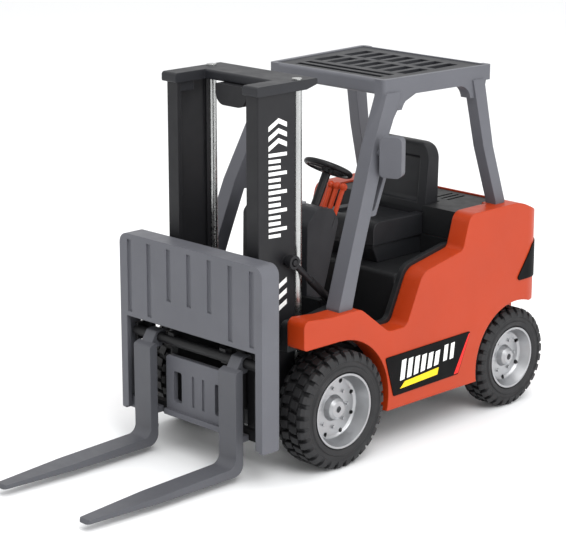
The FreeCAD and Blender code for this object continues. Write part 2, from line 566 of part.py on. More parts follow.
def cab_tub():
    """Black cab moulding: inner fenders, bulkhead, footwell, steps and the box under the seat."""
    rim_line = [(FENDER_FRONT, 52.0), (FENDER_FRONT, FENDER_TOP - 1.0, 3.0), (-6.0, FENDER_TOP - 1.0, 12.0)]
    rim_line += flank_line(-1.4, 1.4)[:-1] + [(81.5, 80.4), (81.5, BASE_TOP), (FRONT_ARCH_R - 1, BASE_TOP),
                                              (FRONT_ARCH_R - 1, 52.0)]
    walls = side_slab(rim_line, -TUB_HALF_W, TUB_HALF_W)
    well = side_slab([(BULKHEAD_Y, BASE_TOP), (BULKHEAD_Y, FENDER_TOP - 1.0), (14.0, FENDER_TOP - 1.0),
                      (60.0, FENDER_TOP), (60.0, BASE_TOP)], -BRACKET_X + 0.4, BRACKET_X - 0.4)
    seat_box = side_slab([(SEAT_BOX_FRONT, FLOOR_Z - 4), (SEAT_BOX_FRONT, SEAT_BOX_Z, 2.0),
                          (SEAT_BOX_REAR, SEAT_BOX_Z), (SEAT_BOX_REAR, FLOOR_Z - 4)],
                         -TUB_HALF_W + 2.5, TUB_HALF_W - 2.5)
    whole = fuse(walls, well, seat_box)
    foot = side_slab([(BULKHEAD_Y + WALL, FLOOR_Z, 2), (BULKHEAD_Y + WALL, 110), (60, 110),
                      (SEAT_BOX_FRONT, 80), (SEAT_BOX_FRONT, FLOOR_Z, 2)], -TUB_HALF_W + 2.5, TUB_HALF_W - 2.5)
    above_seat = block(-TUB_HALF_W + 2.5, TUB_HALF_W - 2.5, SEAT_BOX_FRONT - 0.1, 90, SEAT_BOX_Z, 120)
    below = block(-TUB_HALF_W + 2, TUB_HALF_W - 2, FRONT_ARCH_R + 1, 79.5, 0, FLOOR_Z - WALL)
    below_front = block(-BRACKET_X + 2.4, BRACKET_X - 2.4, BULKHEAD_Y + WALL, FRONT_ARCH_R + 2, 0, FLOOR_Z - WALL)
    in_seat_box = block(-TUB_HALF_W + 4.5, TUB_HALF_W - 4.5, SEAT_BOX_FRONT + WALL, 79.5, 0, SEAT_BOX_Z - WALL)
    mast_bay = block(-BRACKET_X + 0.4, BRACKET_X - 0.4, FENDER_FRONT - 1, BULKHEAD_Y, 0, 120)
    strut_bay = block(BRACKET_X - 1, STRUT_X + STRUT_W / 2 + GAP, FENDER_FRONT - 1, STRUT_BODY_Y + 6, 55.5, 120)
    side_bay = block(BRACKET_X - 1, TUB_HALF_W + 1, FENDER_FRONT - 1, FRONT_ARCH_R - 1, 0, 52.0)
    arch = rod_x(FRONT_ARCH_R - 1.2, BRACKET_X - 1, TUB_HALF_W + 1, 0, FRONT_AXLE_Z)
    whole = cut(whole, foot, above_seat, below, below_front, in_seat_box, mast_bay, *both(strut_bay),
                *both(side_bay), *both(arch))
    liner = cut(rod_x(FRONT_ARCH_R + 0.8, BRACKET_X - 0.4, TUB_HALF_W, 0, FRONT_AXLE_Z),
                rod_x(FRONT_ARCH_R - 1.2, BRACKET_X - 1, TUB_HALF_W + 1, 0, FRONT_AXLE_Z))
    liner = liner.common(block(0, TUB_HALF_W, BULKHEAD_Y, 20, FLOOR_Z - WALL, 60))
    whole = fuse(whole, *both(liner))
    posts = [rod_z(2.8, BASE_TOP, FLOOR_Z if y < 60 else SEAT_BOX_Z - 1, x, y) for x, y in TUB_POSTS]
    pins = both(rod_x(STRUT_PIN_R, STRUT_X - STRUT_W / 2, STRUT_X + STRUT_W / 2 + 2, STRUT_BODY_Y, STRUT_BODY_Z))
    pilots = [rod_z(SCREW_R, 0, BASE_TOP + 12, x, y) for x, y in TUB_POSTS]
    seat_holes = [rod_z(1.6, SEAT_BOX_Z - 4, SEAT_BOX_Z + 1, x, 70) for x in (-10, 10)]
    NODES["cab_tub"] = cut(fuse(whole, *posts, *pins), *pilots, *seat_holes, *front_post_pockets())


def screws():
    """Six self-tapping screws that hold the floor pan to the tub and to the body."""
    NODES["base_screws"] = Part.makeCompound(
        [cut(fuse(rod_z(SCREW_R, BASE_Z, BASE_TOP + 9, x, y), rod_z(SCREW_HEAD_R, BASE_Z - 0.5, BASE_Z + 1.1, x, y)),
             block(x - 1.5, x + 1.5, y - 0.3, y + 0.3, BASE_Z - 1, BASE_Z + 0.2),
             block(x - 0.3, x + 0.3, y - 1.5, y + 1.5, BASE_Z - 1, BASE_Z + 0.2)) for x, y in SCREWS])


# ------------------------------------------------------------------ cab furniture
def cowl():
    """Dashboard moulding in front of the driver, with its instrument plate and levers."""
    half = MAST_IN_X - 1.0
    top_z = 103.0
    outline = [(BULKHEAD_Y + 0.5, FENDER_TOP - 1.0), (BULKHEAD_Y + 1.0, 97.0, 3), (14.0, top_z, 3),
               (23.0, top_z - 1.5, 2), (26.5, 96.0, 3), (20.0, 74.0, 4), (17.0, FENDER_TOP - 1.0)]
    shell = side_slab(outline, -half, half)
    hollow = side_slab([(BULKHEAD_Y + 2.5, FENDER_TOP - 2), (BULKHEAD_Y + 3.0, 95.5), (14.5, top_z - 2.6),
                        (21.5, top_z - 3.6), (24.2, 95.8), (17.8, 74.0), (15.0, FENDER_TOP - 2)],
                       -half + WALL, half - WALL)
    foot_well = block(-half, half, BULKHEAD_Y + WALL, 40, 60, FENDER_TOP - 1.0)
    column_hole = column_rod(COLUMN_R, -1, 40)
    plate_seat = block(-7.5, 7.5, 13.0, 19.5, top_z - 1.0, top_z + 1)
    stems = [Part.makeCylinder(1.0, 18.0, V(x, 22.6, 93.4), V(0, 0.44, 0.9)) for x in LEVER_X]
    NODES["dashboard"] = cut(shell, hollow, foot_well, column_hole, plate_seat, *stems, NODES["cab_tub"])
    NODES["instrument_plate"] = block(-7.3, 7.3, 13.2, 19.3, top_z - 1.0, top_z + 0.3)
    NODES["control_levers"] = Part.makeCompound(
        [fuse(stem, Part.makeSphere(LEVER_BALL_R, V(x, 30.4, 109.4))) for x, stem in zip(LEVER_X, stems)])


def column_point(along):
    """Point on the steering column's axis, measured down from the wheel's centre."""
    lean = math.radians(STEER_LEAN)
    return V(0, WHEEL_Y - along * math.sin(lean), WHEEL_Z - along * math.cos(lean))


def column_rod(radius, start, stop):
    """Cylinder along the steering column between two distances below the wheel."""
    low = column_point(stop)
    return Part.makeCylinder(radius, stop - start, low, column_point(start) - low)


def steering():
    """Steering wheel with three spokes, pushed on the peg at the top of its column."""
    lean = FreeCAD.Rotation(V(1, 0, 0), -STEER_LEAN)
    ring = Part.makeTorus(STEER_R - STEER_TUBE_R, STEER_TUBE_R)
    hub = cut(fuse(rod_z(2.8, -2.2, 1.0, 0, 0), Part.makeCone(2.8, 1.6, 0.8, V(0, 0, 1.0))),
              rod_z(1.0 + RUN_FIT, -3, 0.2, 0, 0))
    spokes = []
    for angle in (90, 210, 330):
        spoke = block(1.5, STEER_R - STEER_TUBE_R, -0.95, 0.95, -0.8, 0.6)
        spoke.rotate(V(0, 0, 0), V(0, 0, 1), angle)
        spokes.append(spoke)
    wheel = fuse(ring, hub, *spokes)
    wheel.Placement = FreeCAD.Placement(V(0, WHEEL_Y, WHEEL_Z), lean)
    NODES["steering_wheel"] = wheel
    NODES["steering_column"] = fuse(column_rod(COLUMN_R, 2.5, COLUMN_L), column_rod(1.0, -0.1, 3.0))


def seat():
    """Driver's seat: pedestal, cushion and a winged backrest."""
    w = SEAT_HALF_W
    pedestal = side_slab([(SEAT_FRONT + 4, SEAT_BOX_Z), (SEAT_FRONT + 1, CUSHION_BOTTOM - 1.6),
                          (SEAT_FRONT + 1, CUSHION_BOTTOM), (SEAT_REAR, CUSHION_BOTTOM), (SEAT_REAR, SEAT_BOX_Z + 7),
                          (SEAT_BOX_REAR, SEAT_BOX_Z)], -w + 1, w - 1)
    pedestal = pedestal.common(block(-w, w, 0, SEAT_BOX_REAR + 0.5, 0, 200))
    pegs = [rod_z(1.6, SEAT_BOX_Z - 4, SEAT_BOX_Z, x, 70) for x in (-10, 10)]
    NODES["seat_pedestal"] = fuse(pedestal, *pegs)
    cushion = side_slab([(SEAT_FRONT, CUSHION_BOTTOM), (SEAT_FRONT, CUSHION_TOP, 4.0), (SEAT_REAR - 7.0, CUSHION_TOP - 1.0),
                         (SEAT_REAR - 7.0, CUSHION_BOTTOM)], -w, w)
    trough = side_slab([(SEAT_FRONT + 4, CUSHION_TOP + 2), (SEAT_FRONT + 5, CUSHION_TOP - 1.6, 1.5),
                        (SEAT_REAR - 6, CUSHION_TOP - 2.4), (SEAT_REAR - 6, CUSHION_TOP + 2)], -w + 5, w - 5)
    NODES["seat_cushion"] = cut(cushion, trough)
    base_y = SEAT_REAR - 7.0
    back = front_slab([(-w, CUSHION_BOTTOM), (-w, SEAT_BACK_TOP, 7.5), (w, SEAT_BACK_TOP, 7.5), (w, CUSHION_BOTTOM)],
                      base_y, base_y + 9.0)
    lean = side_slab([(base_y, CUSHION_BOTTOM), (base_y, CUSHION_TOP), (base_y + 2.6, SEAT_BACK_TOP, 2.5),
                      (base_y + 9.0, SEAT_BACK_TOP, 2.5), (base_y + 8.0, CUSHION_BOTTOM)], -w, w)
    hollow = side_slab([(base_y - 2, CUSHION_TOP + 3), (base_y - 2, SEAT_BACK_TOP - 6), (base_y + 3.6, SEAT_BACK_TOP - 6, 2),
                        (base_y + 2.0, CUSHION_TOP + 3, 2)], -w + 5, w - 5)
    NODES["seat_back"] = cut(back.common(lean), hollow)


def engine_cover():
    """Dark cover that fills the rear deck round the seat back, bored for the sound button."""
    top = BODY_TOP - 0.8
    skin = 1.6
    lid = cut(hatch_plan(GAP, HATCH_Z, top), hatch_plan(GAP + skin, HATCH_Z - 1, top - skin))
    notch = block(-SEAT_HALF_W - GAP, SEAT_HALF_W + GAP, 80, SEAT_REAR + 2.5, HATCH_Z - 1, top + 1)
    screen = block(-SEAT_HALF_W - GAP - skin, SEAT_HALF_W + GAP + skin, HATCH_FRONT + GAP, SEAT_REAR + 2.5 + skin, HATCH_Z,
                   top)
    collar = rod_z(BUTTON_R + 1.8, BODY_TOP - 5, top - 1, 0, BUTTON_Y)
    tabs = both(block(TUB_HALF_W - GAP - 0.1, TUB_HALF_W, 86, 98, BODY_TOP - 2.0, top))
    guide = rod_z(BUTTON_R + 0.3, 0, top + 1, 0, BUTTON_Y)
    vents = [block(x, x + 1.6, 97.0, 108.5, top - 0.8, top + 1) for x in (10.5, 14.0, 17.5, -12.1, -15.6, -19.1)]
    legs = [rod_z(1.4, BODY_TOP - 13.6, top - 1, x, y) for x in (-9, 9) for y in (97, 107)]
    NODES["engine_cover"] = cut(fuse(lid, screen, collar, *tabs, *legs), notch, guide, *vents)
    cap = fuse(rod_z(BUTTON_R, BODY_TOP - 4.0, top + 1.2, 0, BUTTON_Y),
               rod_z(BUTTON_R + 1.2, BODY_TOP - 6.4, BODY_TOP - 5.2, 0, BUTTON_Y),
               rod_z(BUTTON_R - 0.5, BODY_TOP - 5.2, BODY_TOP - 4.0, 0, BUTTON_Y))
    NODES["sound_button"] = cap


# ----------------------------------------------------------------- overhead guard
def overhead_guard():
    """Grey cage: curved front posts, leaning rear posts and the roof frame."""
    foot = block(FRONT_POST_IN, FRONT_POST_OUT, FRONT_POST_FRONT, FRONT_POST_REAR, FRONT_POST_FOOT, FENDER_TOP + 1)
    front_post = fuse(foot, loft([
        (FRONT_POST_IN, FRONT_POST_OUT, FRONT_POST_FRONT, FRONT_POST_REAR, FENDER_TOP + 1),
        (35.0, 42.4, 8.4, 15.8, 84.0), (33.8, 41.0, 16.8, 24.2, 106.0), (31.0, 37.8, 27.6, 35.2, 130.0),
        (28.4, 34.9, 38.4, 47.5, 150.0)]))
    rear_post = fuse(block(35.6, 41.4, 102.6, 108.6, BODY_TOP - 6, BODY_TOP + 1),
                     loft([(35.6, 41.4, 102.6, 108.6, BODY_TOP + 1), (34.0, 39.8, 95.4, 101.6, 120.0),
                           (32.6, 38.2, 89.4, 96.6, 150.0)]))
    low = ROOF_Z - ROOF_BEAM_H
    gusset = side_slab([(33.0, 128.0), (41.6, 137.0, 14), (46.5, 144.0, 10), (57.0, low), (57.0, low + 2),
                        (44.0, low + 2), (38.0, 140.0)], 29.5, 34.6)
    beam = plan_slab([(ROOF_HALF_FRONT - ROOF_BEAM_W, ROOF_FRONT), (ROOF_HALF_FRONT, ROOF_FRONT, 2),
                      (ROOF_HALF_REAR, ROOF_REAR, 2), (ROOF_HALF_REAR - ROOF_BEAM_W, ROOF_REAR)], low - 6, ROOF_Z)
    arch = side_slab([(47.5, 100), (47.5, low, 9), (88.0, low, 7), (93.0, 100)], 0, 60)
    nose = side_slab([(ROOF_FRONT - 1, 100), (ROOF_FRONT - 1, low), (40.5, low), (44.5, 143), (44.5, 100)], 0, 60)
    tail = side_slab([(97.5, 100), (96.5, 143), (98.0, low + 1), (ROOF_REAR + 1, low + 1), (ROOF_REAR + 1, 100)], 0, 60)
    beam = cut(beam, arch, nose, tail)
    front_beam = side_slab([(ROOF_FRONT, ROOF_Z, 1.5), (ROOF_FRONT, low + 0.6, 1.5), (ROOF_FRONT + 5.4, low + 1.6),
                            (ROOF_FRONT + 5.4, ROOF_Z)], -ROOF_HALF_FRONT + 2, ROOF_HALF_FRONT - 2)
    rear_beam = side_slab([(ROOF_REAR, ROOF_Z, 1.5), (ROOF_REAR, low + 1.6, 1.5), (ROOF_REAR - 5.4, low + 1.6),
                           (ROOF_REAR - 5.4, ROOF_Z)], -ROOF_HALF_REAR + 2, ROOF_HALF_REAR - 2)
    handle = side_slab([(19.6, 101.0), (28.4, 101.0, 1.4), (36.2, 120.2, 2.0), (31.0, 122.4), (28.8, 120.0),
                        (33.6, 118.6, 1.2), (27.4, 103.4, 1.0), (20.4, 103.4)], 36.4, 38.8)
    cage = fuse(front_beam, rear_beam, *both(front_post), *both(rear_post), *both(beam), *both(gusset), *both(handle))
    shelf = grille_face(GAP, ROOF_Z - GRILLE_T - 0.4, ROOF_Z + 1)
    NODES["overhead_guard"] = cut(cage, shelf)
    grille = grille_face(0, ROOF_Z - GRILLE_T - 0.4, ROOF_Z - 0.4)
    slots = []
    pitch = 8.2
    for i in range(7):
        x = (i - 3) * pitch
        slots.append(block(x - 2.6, x + 2.6, 58.0, 73.0, ROOF_Z - 5, ROOF_Z + 1))
        slots.append(block(x - 2.6, x + 2.6, 77.0, 92.0, ROOF_Z - 5, ROOF_Z + 1))
    slots += [block(-25, 25, y, y + 3.4, ROOF_Z - 1.6, ROOF_Z + 1) for y in (44.5, 50.5)]
    NODES["roof_grille"] = cut(grille, *slots)


def grille_face(grow, z0, z1):
    """Slab let into the top of the roof frame, leaving a narrow rim all round."""
    inset = ROOF_RIM - grow
    front = ROOF_HALF_FRONT - inset
    rear = ROOF_HALF_REAR - inset
    y0 = ROOF_FRONT + inset
    y1 = ROOF_REAR - inset
    return plan_slab([(-front, y0), (front, y0), (rear, y1), (-rear, y1)], z0, z1)


def mirror():
    """Driver's mirror on the left front post: stalk with a bowl-shaped head, and its glass."""
    centre = V(44.4, 31.8, 126.0)
    head = Part.makeBox(9.6, 5.0, 17.0, V(-4.8, -2.5, -8.5))
    head = head.makeFillet(2.2, [e for e in head.Edges if abs(e.Vertexes[0].X - e.Vertexes[-1].X) < 0.01
                                 and abs(e.Vertexes[0].Z - e.Vertexes[-1].Z) < 0.01])
    recess = Part.makeBox(7.4, 1.2, 14.6, V(-3.7, 1.5, -7.3))
    glass = Part.makeBox(7.4, 0.9, 14.6, V(-3.7, 1.5, -7.3))
    turn = FreeCAD.Placement(centre, FreeCAD.Rotation(V(0, 0, 1), 24))
    for piece in (head, recess, glass):
        piece.Placement = turn
    stalk = rod_x(1.3, 37.0, 41.8, 30.6, 127.0)
    NODES["mirror_head"] = cut(fuse(head, stalk), recess, NODES["overhead_guard"])
    NODES["mirror_glass"] = glass


# --------------------------------------------------------------------------- mast
def mast():
    """Two channel rails joined by a crosshead and a foot bar, with lift rods behind them."""
    rail = block(MAST_IN_X, MAST_OUT_X, MAST_FRONT, MAST_REAR, MAST_FOOT, MAST_TOP)
    channel = block(MAST_IN_X - 1, MAST_OUT_X - RAIL_T, MAST_FRONT + RAIL_T, MAST_REAR - RAIL_T,
                    MAST_FOOT - 1, MAST_TOP + 1)
    rear_lip = block(MAST_IN_X - 1, MAST_OUT_X - RAIL_T - RAIL_LIP, MAST_REAR - RAIL_T - 1, MAST_REAR + 1,
                     MAST_FOOT - 1, MAST_TOP + 1)
    edge = [e for e in rail.Edges if e.Length > 100 and e.Vertexes[0].X > MAST_OUT_X - 0.1]
    rail = rail.makeFillet(0.8, edge)
    pin = rod_x(STRUT_PIN_R, MAST_OUT_X, STRUT_X + STRUT_W / 2, STRUT_MAST_Y, STRUT_MAST_Z)
    boss = rod_x(2.2, MAST_OUT_X - 1, STRUT_X - STRUT_W / 2 - 0.3, STRUT_MAST_Y, STRUT_MAST_Z)
    lug = block(MAST_IN_X + 0.5, MAST_OUT_X - 0.5, MAST_REAR, LIFT_ROD_Y + 3.2, LIFT_ROD_FOOT - 5, LIFT_ROD_FOOT + 4)
    rod_hole = rod_z(LIFT_ROD_R, LIFT_ROD_FOOT, MAST_TOP + 1, LIFT_ROD_X, LIFT_ROD_Y)
    pivot_hole = rod_x(PIVOT_R + RUN_FIT, 0, 60, MAST_PIVOT_Y, MAST_PIVOT_Z)
    left = cut(fuse(cut(rail, channel, rear_lip), boss, pin, lug), rod_hole, pivot_hole)
    NODES["mast_rail_left"] = left
    NODES["mast_rail_right"] = mirror_x(left)
    NODES["lift_rods"] = pair(rod_z(LIFT_ROD_R, LIFT_ROD_FOOT, MAST_TOP + CROSSHEAD_T + 0.6, LIFT_ROD_X, LIFT_ROD_Y))
    foot = side_slab([(MAST_PIVOT_Y - 3.4, MAST_FOOT, 2), (MAST_PIVOT_Y - 3.4, MAST_PIVOT_Z + 3.4, 2),
                      (MAST_PIVOT_Y + 3.4, MAST_PIVOT_Z + 3.4, 2), (MAST_PIVOT_Y + 3.4, MAST_FOOT, 2)],
                     -MAST_OUT_X + RAIL_T, MAST_OUT_X - RAIL_T)
    foot = cut(foot, rod_x(PIVOT_R + RUN_FIT, -60, 60, MAST_PIVOT_Y, MAST_PIVOT_Z))
    NODES["mast_foot_bar"] = foot
    NODES["mast_pivot_pin"] = rod_x(PIVOT_R, -BRACKET_X - BRACKET_T, BRACKET_X + BRACKET_T, MAST_PIVOT_Y, MAST_PIVOT_Z)
    top = MAST_TOP + CROSSHEAD_T
    cap = side_slab([(MAST_FRONT - 1.5, MAST_TOP, 0.8), (MAST_FRONT - 1.5, top, 1.4), (CROSSHEAD_REAR, top, 0.8),
                     (CROSSHEAD_REAR, top - 2.4, 0.6), (LIFT_ROD_Y + 2.6, MAST_TOP)], MAST_IN_X - 0.6, MAST_OUT_X + 1.2)
    lintel = side_slab([(PULLEY_FRONT + 4, MAST_TOP, 0.8), (PULLEY_FRONT + 4, top, 1.0), (CROSSHEAD_REAR, top, 0.8),
                        (CROSSHEAD_REAR, top - 2.4, 0.6), (LIFT_ROD_Y + 2.6, MAST_TOP)], -MAST_IN_X, MAST_IN_X)
    plug = block(MAST_IN_X + 1, MAST_OUT_X - RAIL_T, MAST_FRONT + RAIL_T, MAST_FRONT + RAIL_T + 8, MAST_TOP - 4, MAST_TOP)
    head = fuse(lintel, *both(cap), *both(plug))
    holes = both(rod_z(LIFT_ROD_R, 100, top + 2, LIFT_ROD_X, LIFT_ROD_Y))
    NODES["mast_crosshead"] = cut(head, *holes)
    NODES["pulley_housing"] = front_slab([(-9.0, MAST_TOP), (-9.0, MAST_TOP - 8.6, 5), (9.0, MAST_TOP - 8.6, 5),
                                          (9.0, MAST_TOP)], PULLEY_FRONT, -3.0)


def carriage():
    """Black lifting carriage in the rails, with the grey guard, plate, bar and forks."""
    clear = RUN_FIT + 0.22
    shoe = block(MAST_IN_X - 1.5, MAST_OUT_X - RAIL_T - clear, MAST_FRONT + RAIL_T + clear, MAST_REAR - RAIL_T - clear,
                 26.0, 60.0)
    cheek = side_slab([(-33.0, LOW_BAR_BOTTOM), (-33.0, 62.0, 2), (CARRIAGE_REAR, 62.0, 3), (CARRIAGE_REAR, 26.0, 3),
                       (MAST_FRONT - 1, 26.0), (MAST_FRONT - 1, LOW_BAR_BOTTOM)], MAST_IN_X - 4.0, MAST_IN_X - 0.8)
    low_bar = block(-38.2, 38.2, -36.0, -33.0, LOW_BAR_BOTTOM, LOW_BAR_TOP)
    post = block(33.0, 38.2, -36.0, -31.6, LOW_BAR_BOTTOM, 43.5)
    cross = block(-38.2, 38.2, -34.0, -31.0, 53.0, 62.0)
    tie = block(-MAST_IN_X + 4.0, MAST_IN_X - 4.0, CARRIAGE_REAR - 2.5, CARRIAGE_REAR, 46.0, 58.0)
    upper_post = block(33.0, 38.2, -32.9, -30.4, 43.0, 54.0)
    frame = fuse(low_bar, cross, tie, *both(shoe), *both(cheek), *both(post), *both(upper_post))
    bar_hole = rod_x(FORK_BAR_R, -60, 60, FORK_BAR_Y, FORK_BAR_Z)
    hanger = side_slab([(-32.0, FORK_BAR_Z - 3), (FORK_BAR_Y, FORK_BAR_Z - 3), (FORK_BAR_Y - 1.0, FORK_BAR_Z + 3.5),
                        (-32.0, FORK_BAR_Z + 3.5)], 14.0, 17.5)
    end_lug = side_slab([(-31.0, FORK_BAR_Z - 4), (FORK_BAR_Y - 1.0, FORK_BAR_Z - 4), (FORK_BAR_Y - 1.0, FORK_BAR_Z + 3.5),
                         (-31.0, FORK_BAR_Z + 3.5)], 36.6, 38.2)
    frame = cut(fuse(frame, *both(hanger), *both(end_lug)), bar_hole)
    NODES["carriage_frame"] = frame
    NODES["fork_bar"] = rod_x(FORK_BAR_R, -FORK_BAR_HALF_L, FORK_BAR_HALF_L, FORK_BAR_Y, FORK_BAR_Z)
    plate = front_slab([(-PLATE_HALF_W, PLATE_BOTTOM, 1), (-PLATE_HALF_W, PLATE_TOP, 2), (PLATE_HALF_W, PLATE_TOP, 2),
                        (PLATE_HALF_W, PLATE_BOTTOM, 1)], PLATE_FRONT, PLATE_FRONT + PLATE_T)
    lip = block(-PLATE_HALF_W, PLATE_HALF_W, PLATE_FRONT - 1.6, PLATE_FRONT, PLATE_BOTTOM, PLATE_BOTTOM + 2.4)
    windows = both(front_slab([(10.2, 22.6, 1), (10.2, 36.0, 1), (15.2, 36.0, 1), (15.2, 22.6, 1)], -60, -20))
    lines = both(block(2.4, 3.8, PLATE_FRONT - 1, PLATE_FRONT + 0.7, 22.6, 36.0))
    seat_low = block(-39, 39, -36.0, -33.0, LOW_BAR_BOTTOM - 1, LOW_BAR_TOP)
    NODES["carriage_plate"] = cut(fuse(plate, lip), seat_low, *windows, *lines)


def backrest():
    """Grey load guard: ribbed panel with side plates that reach down to the floor."""
    back = BACKREST_FRONT + BACKREST_DEPTH
    w = BACKREST_HALF_W
    panel = front_slab([(-w, BACKREST_BOTTOM), (-w, BACKREST_TOP, 4.5), (w, BACKREST_TOP, 4.5), (w, BACKREST_BOTTOM)],
                       BACKREST_FRONT, BACKREST_FRONT + BACKREST_T)
    hood = front_slab([(-w, BACKREST_BOTTOM), (-w, BACKREST_TOP, 4.5), (w, BACKREST_TOP, 4.5), (w, BACKREST_BOTTOM)],
                      BACKREST_FRONT, back)
    inside = front_slab([(-w + WALL, 0), (-w + WALL, BACKREST_TOP - WALL, 2.5), (w - WALL, BACKREST_TOP - WALL, 2.5),
                         (w - WALL, 0)], BACKREST_FRONT + BACKREST_T, back + 1)
    plates = [side_slab([(BACKREST_FRONT, BACKREST_BOTTOM), (BACKREST_FRONT, STILE_FOOT, 1.0), (back, STILE_FOOT, 1.0),
                         (back, BACKREST_BOTTOM)], *sorted((s * (w - WALL), s * w))) for s in (1, -1)]
    lips = both(block(w - STILE_LIP, w, BACKREST_FRONT, BACKREST_FRONT + 2.2, STILE_FOOT + 1, BACKREST_BOTTOM))
    feet = both(block(w - 6.0, w - WALL, -38.4, -36.0, STILE_FOOT, STILE_FOOT + 5.0))
    edge = block(-w, w, BACKREST_FRONT, BACKREST_FRONT + BACKREST_T + 2.0, BACKREST_BOTTOM - 0.2, BACKREST_BOTTOM + 1.8)
    guard = fuse(panel, cut(hood, inside), edge, *plates, *lips)
    mount = block(-30, 30, BACKREST_FRONT + 1, -34.0, 57.0, 62.0)
    guard = fuse(guard, mount, *feet)
    grooves = []
    for i in range(-3, 4):
        low = BACKREST_BOTTOM + (11.0 if abs(i) < 2 else 1.8)
        x = i * GROOVE_PITCH
        grooves.append(block(x - GROOVE_W / 2, x + GROOVE_W / 2, BACKREST_FRONT - 1, BACKREST_FRONT + GROOVE_DEPTH,
                             low, BACKREST_TOP - 2.4))
    NODES["load_guard"] = cut(guard, *grooves)


def fork(side):
    """L-shaped fork that hooks over the bar and can be pushed along it."""
    heel = FORK_FRONT + FORK_T
    top = FORK_BOTTOM + FORK_T
    profile = [(heel, FORK_BOTTOM, 5.0), (heel, FORK_BAR_Z - 1.0, 1.0), (FORK_FRONT, FORK_BAR_Z - 2.6, 1.0),
               (FORK_FRONT, top, 4.0), (FORK_TIP + 1.0, FORK_BOTTOM + FORK_TIP_T, 0.5), (FORK_TIP, FORK_BOTTOM)]
    half = FORK_W / 2
    body = side_slab(profile, -half, half)
    taper = plan_slab([(-half, heel + 1), (-half, FORK_TIP + 34), (-FORK_TIP_W / 2, FORK_TIP, 1.6),
                       (FORK_TIP_W / 2, FORK_TIP, 1.6), (half, FORK_TIP + 34), (half, heel + 1)], 0, 60)
    body = body.common(taper)
    ring = FORK_BAR_R + 1.3
    bar_y = FORK_BAR_Y
    hook = side_slab([(heel - 1.2, FORK_BAR_Z - 4.0), (heel - 1.2, FORK_BAR_Z - 1.4, 0.6), (bar_y - 2.4, FORK_BAR_Z + ring - 0.6, 1.4),
                      (bar_y + ring - 0.6, FORK_BAR_Z + ring, 1.8), (bar_y + ring - 0.6, FORK_BAR_Z - 0.6),
                      (bar_y, FORK_BAR_Z - 4.0)], -half + 2.0, half - 2.0)
    pad = block(-half + 1.0, half - 1.0, heel - 0.6, -36.0 - GAP, LOW_BAR_BOTTOM, LOW_BAR_BOTTOM + 2.6)
    boss = rod_x(1.8, -half + 1.6, half - 1.6, heel - 0.2, 11.0)
    whole = cut(fuse(body, hook, pad, boss), rod_x(FORK_BAR_R + RUN_FIT, -60, 60, bar_y, FORK_BAR_Z))
    whole.translate(V(side * FORK_X, 0, 0))
    return whole


def tilt_cylinder():
    """Left tilt cylinder, barrel and rod, lying between its pins on the tub and the rail."""
    low = V(0, STRUT_BODY_Y, STRUT_BODY_Z)
    high = V(0, STRUT_MAST_Y, STRUT_MAST_Z)
    along = (high - low).normalize()
    length = (high - low).Length
    x0 = STRUT_X - STRUT_W / 2 + 0.3
    x1 = STRUT_X + STRUT_W / 2 - 0.3
    middle = V(STRUT_X, 0, 0)
    eye_r = 2.9
    body = fuse(rod_x(eye_r, x0, x1, low.y, low.z),
                Part.makeCylinder(1.65, STRUT_BARREL_L - 1, low + middle + along * 1.0, along))
    barrel = cut(body, Part.makeCylinder(STRUT_ROD_R + RUN_FIT, STRUT_BARREL_L, low + middle + along * 4.0, along),
                 rod_x(STRUT_PIN_R + RUN_FIT, 0, 60, low.y, low.z))
    rod = fuse(rod_x(eye_r, x0, x1, high.y, high.z),
               Part.makeCylinder(STRUT_ROD_R, length - 12.0, low + middle + along * 12.0, along))
    rod = cut(rod, rod_x(STRUT_PIN_R + OPEN_PIVOT, 0, 60, high.y, high.z))
    return barrel, rod


# ------------------------------------------------------------------ friction drive
def gear_centres():
    """Axle, idler and flywheel shaft centres as (y, z)."""
    a = math.radians(IDLER_ANGLE)
    b = math.radians(FLYWHEEL_ANGLE)
    idler = (WHEELBASE + GEAR_CENTRES * math.cos(a), REAR_AXLE_Z + GEAR_CENTRES * math.sin(a))
    fly = (idler[0] + GEAR_CENTRES * math.cos(b), idler[1] + GEAR_CENTRES * math.sin(b))
    return (WHEELBASE, REAR_AXLE_Z), idler, fly


def mesh_phase(angle, driver_phase, driver_teeth, teeth):
    """Phase that puts a gap of the second gear opposite a tooth of the first, both in radians."""
    tooth_angle = (driver_phase - angle) * driver_teeth
    return angle + math.pi - (tooth_angle - math.pi) / teeth


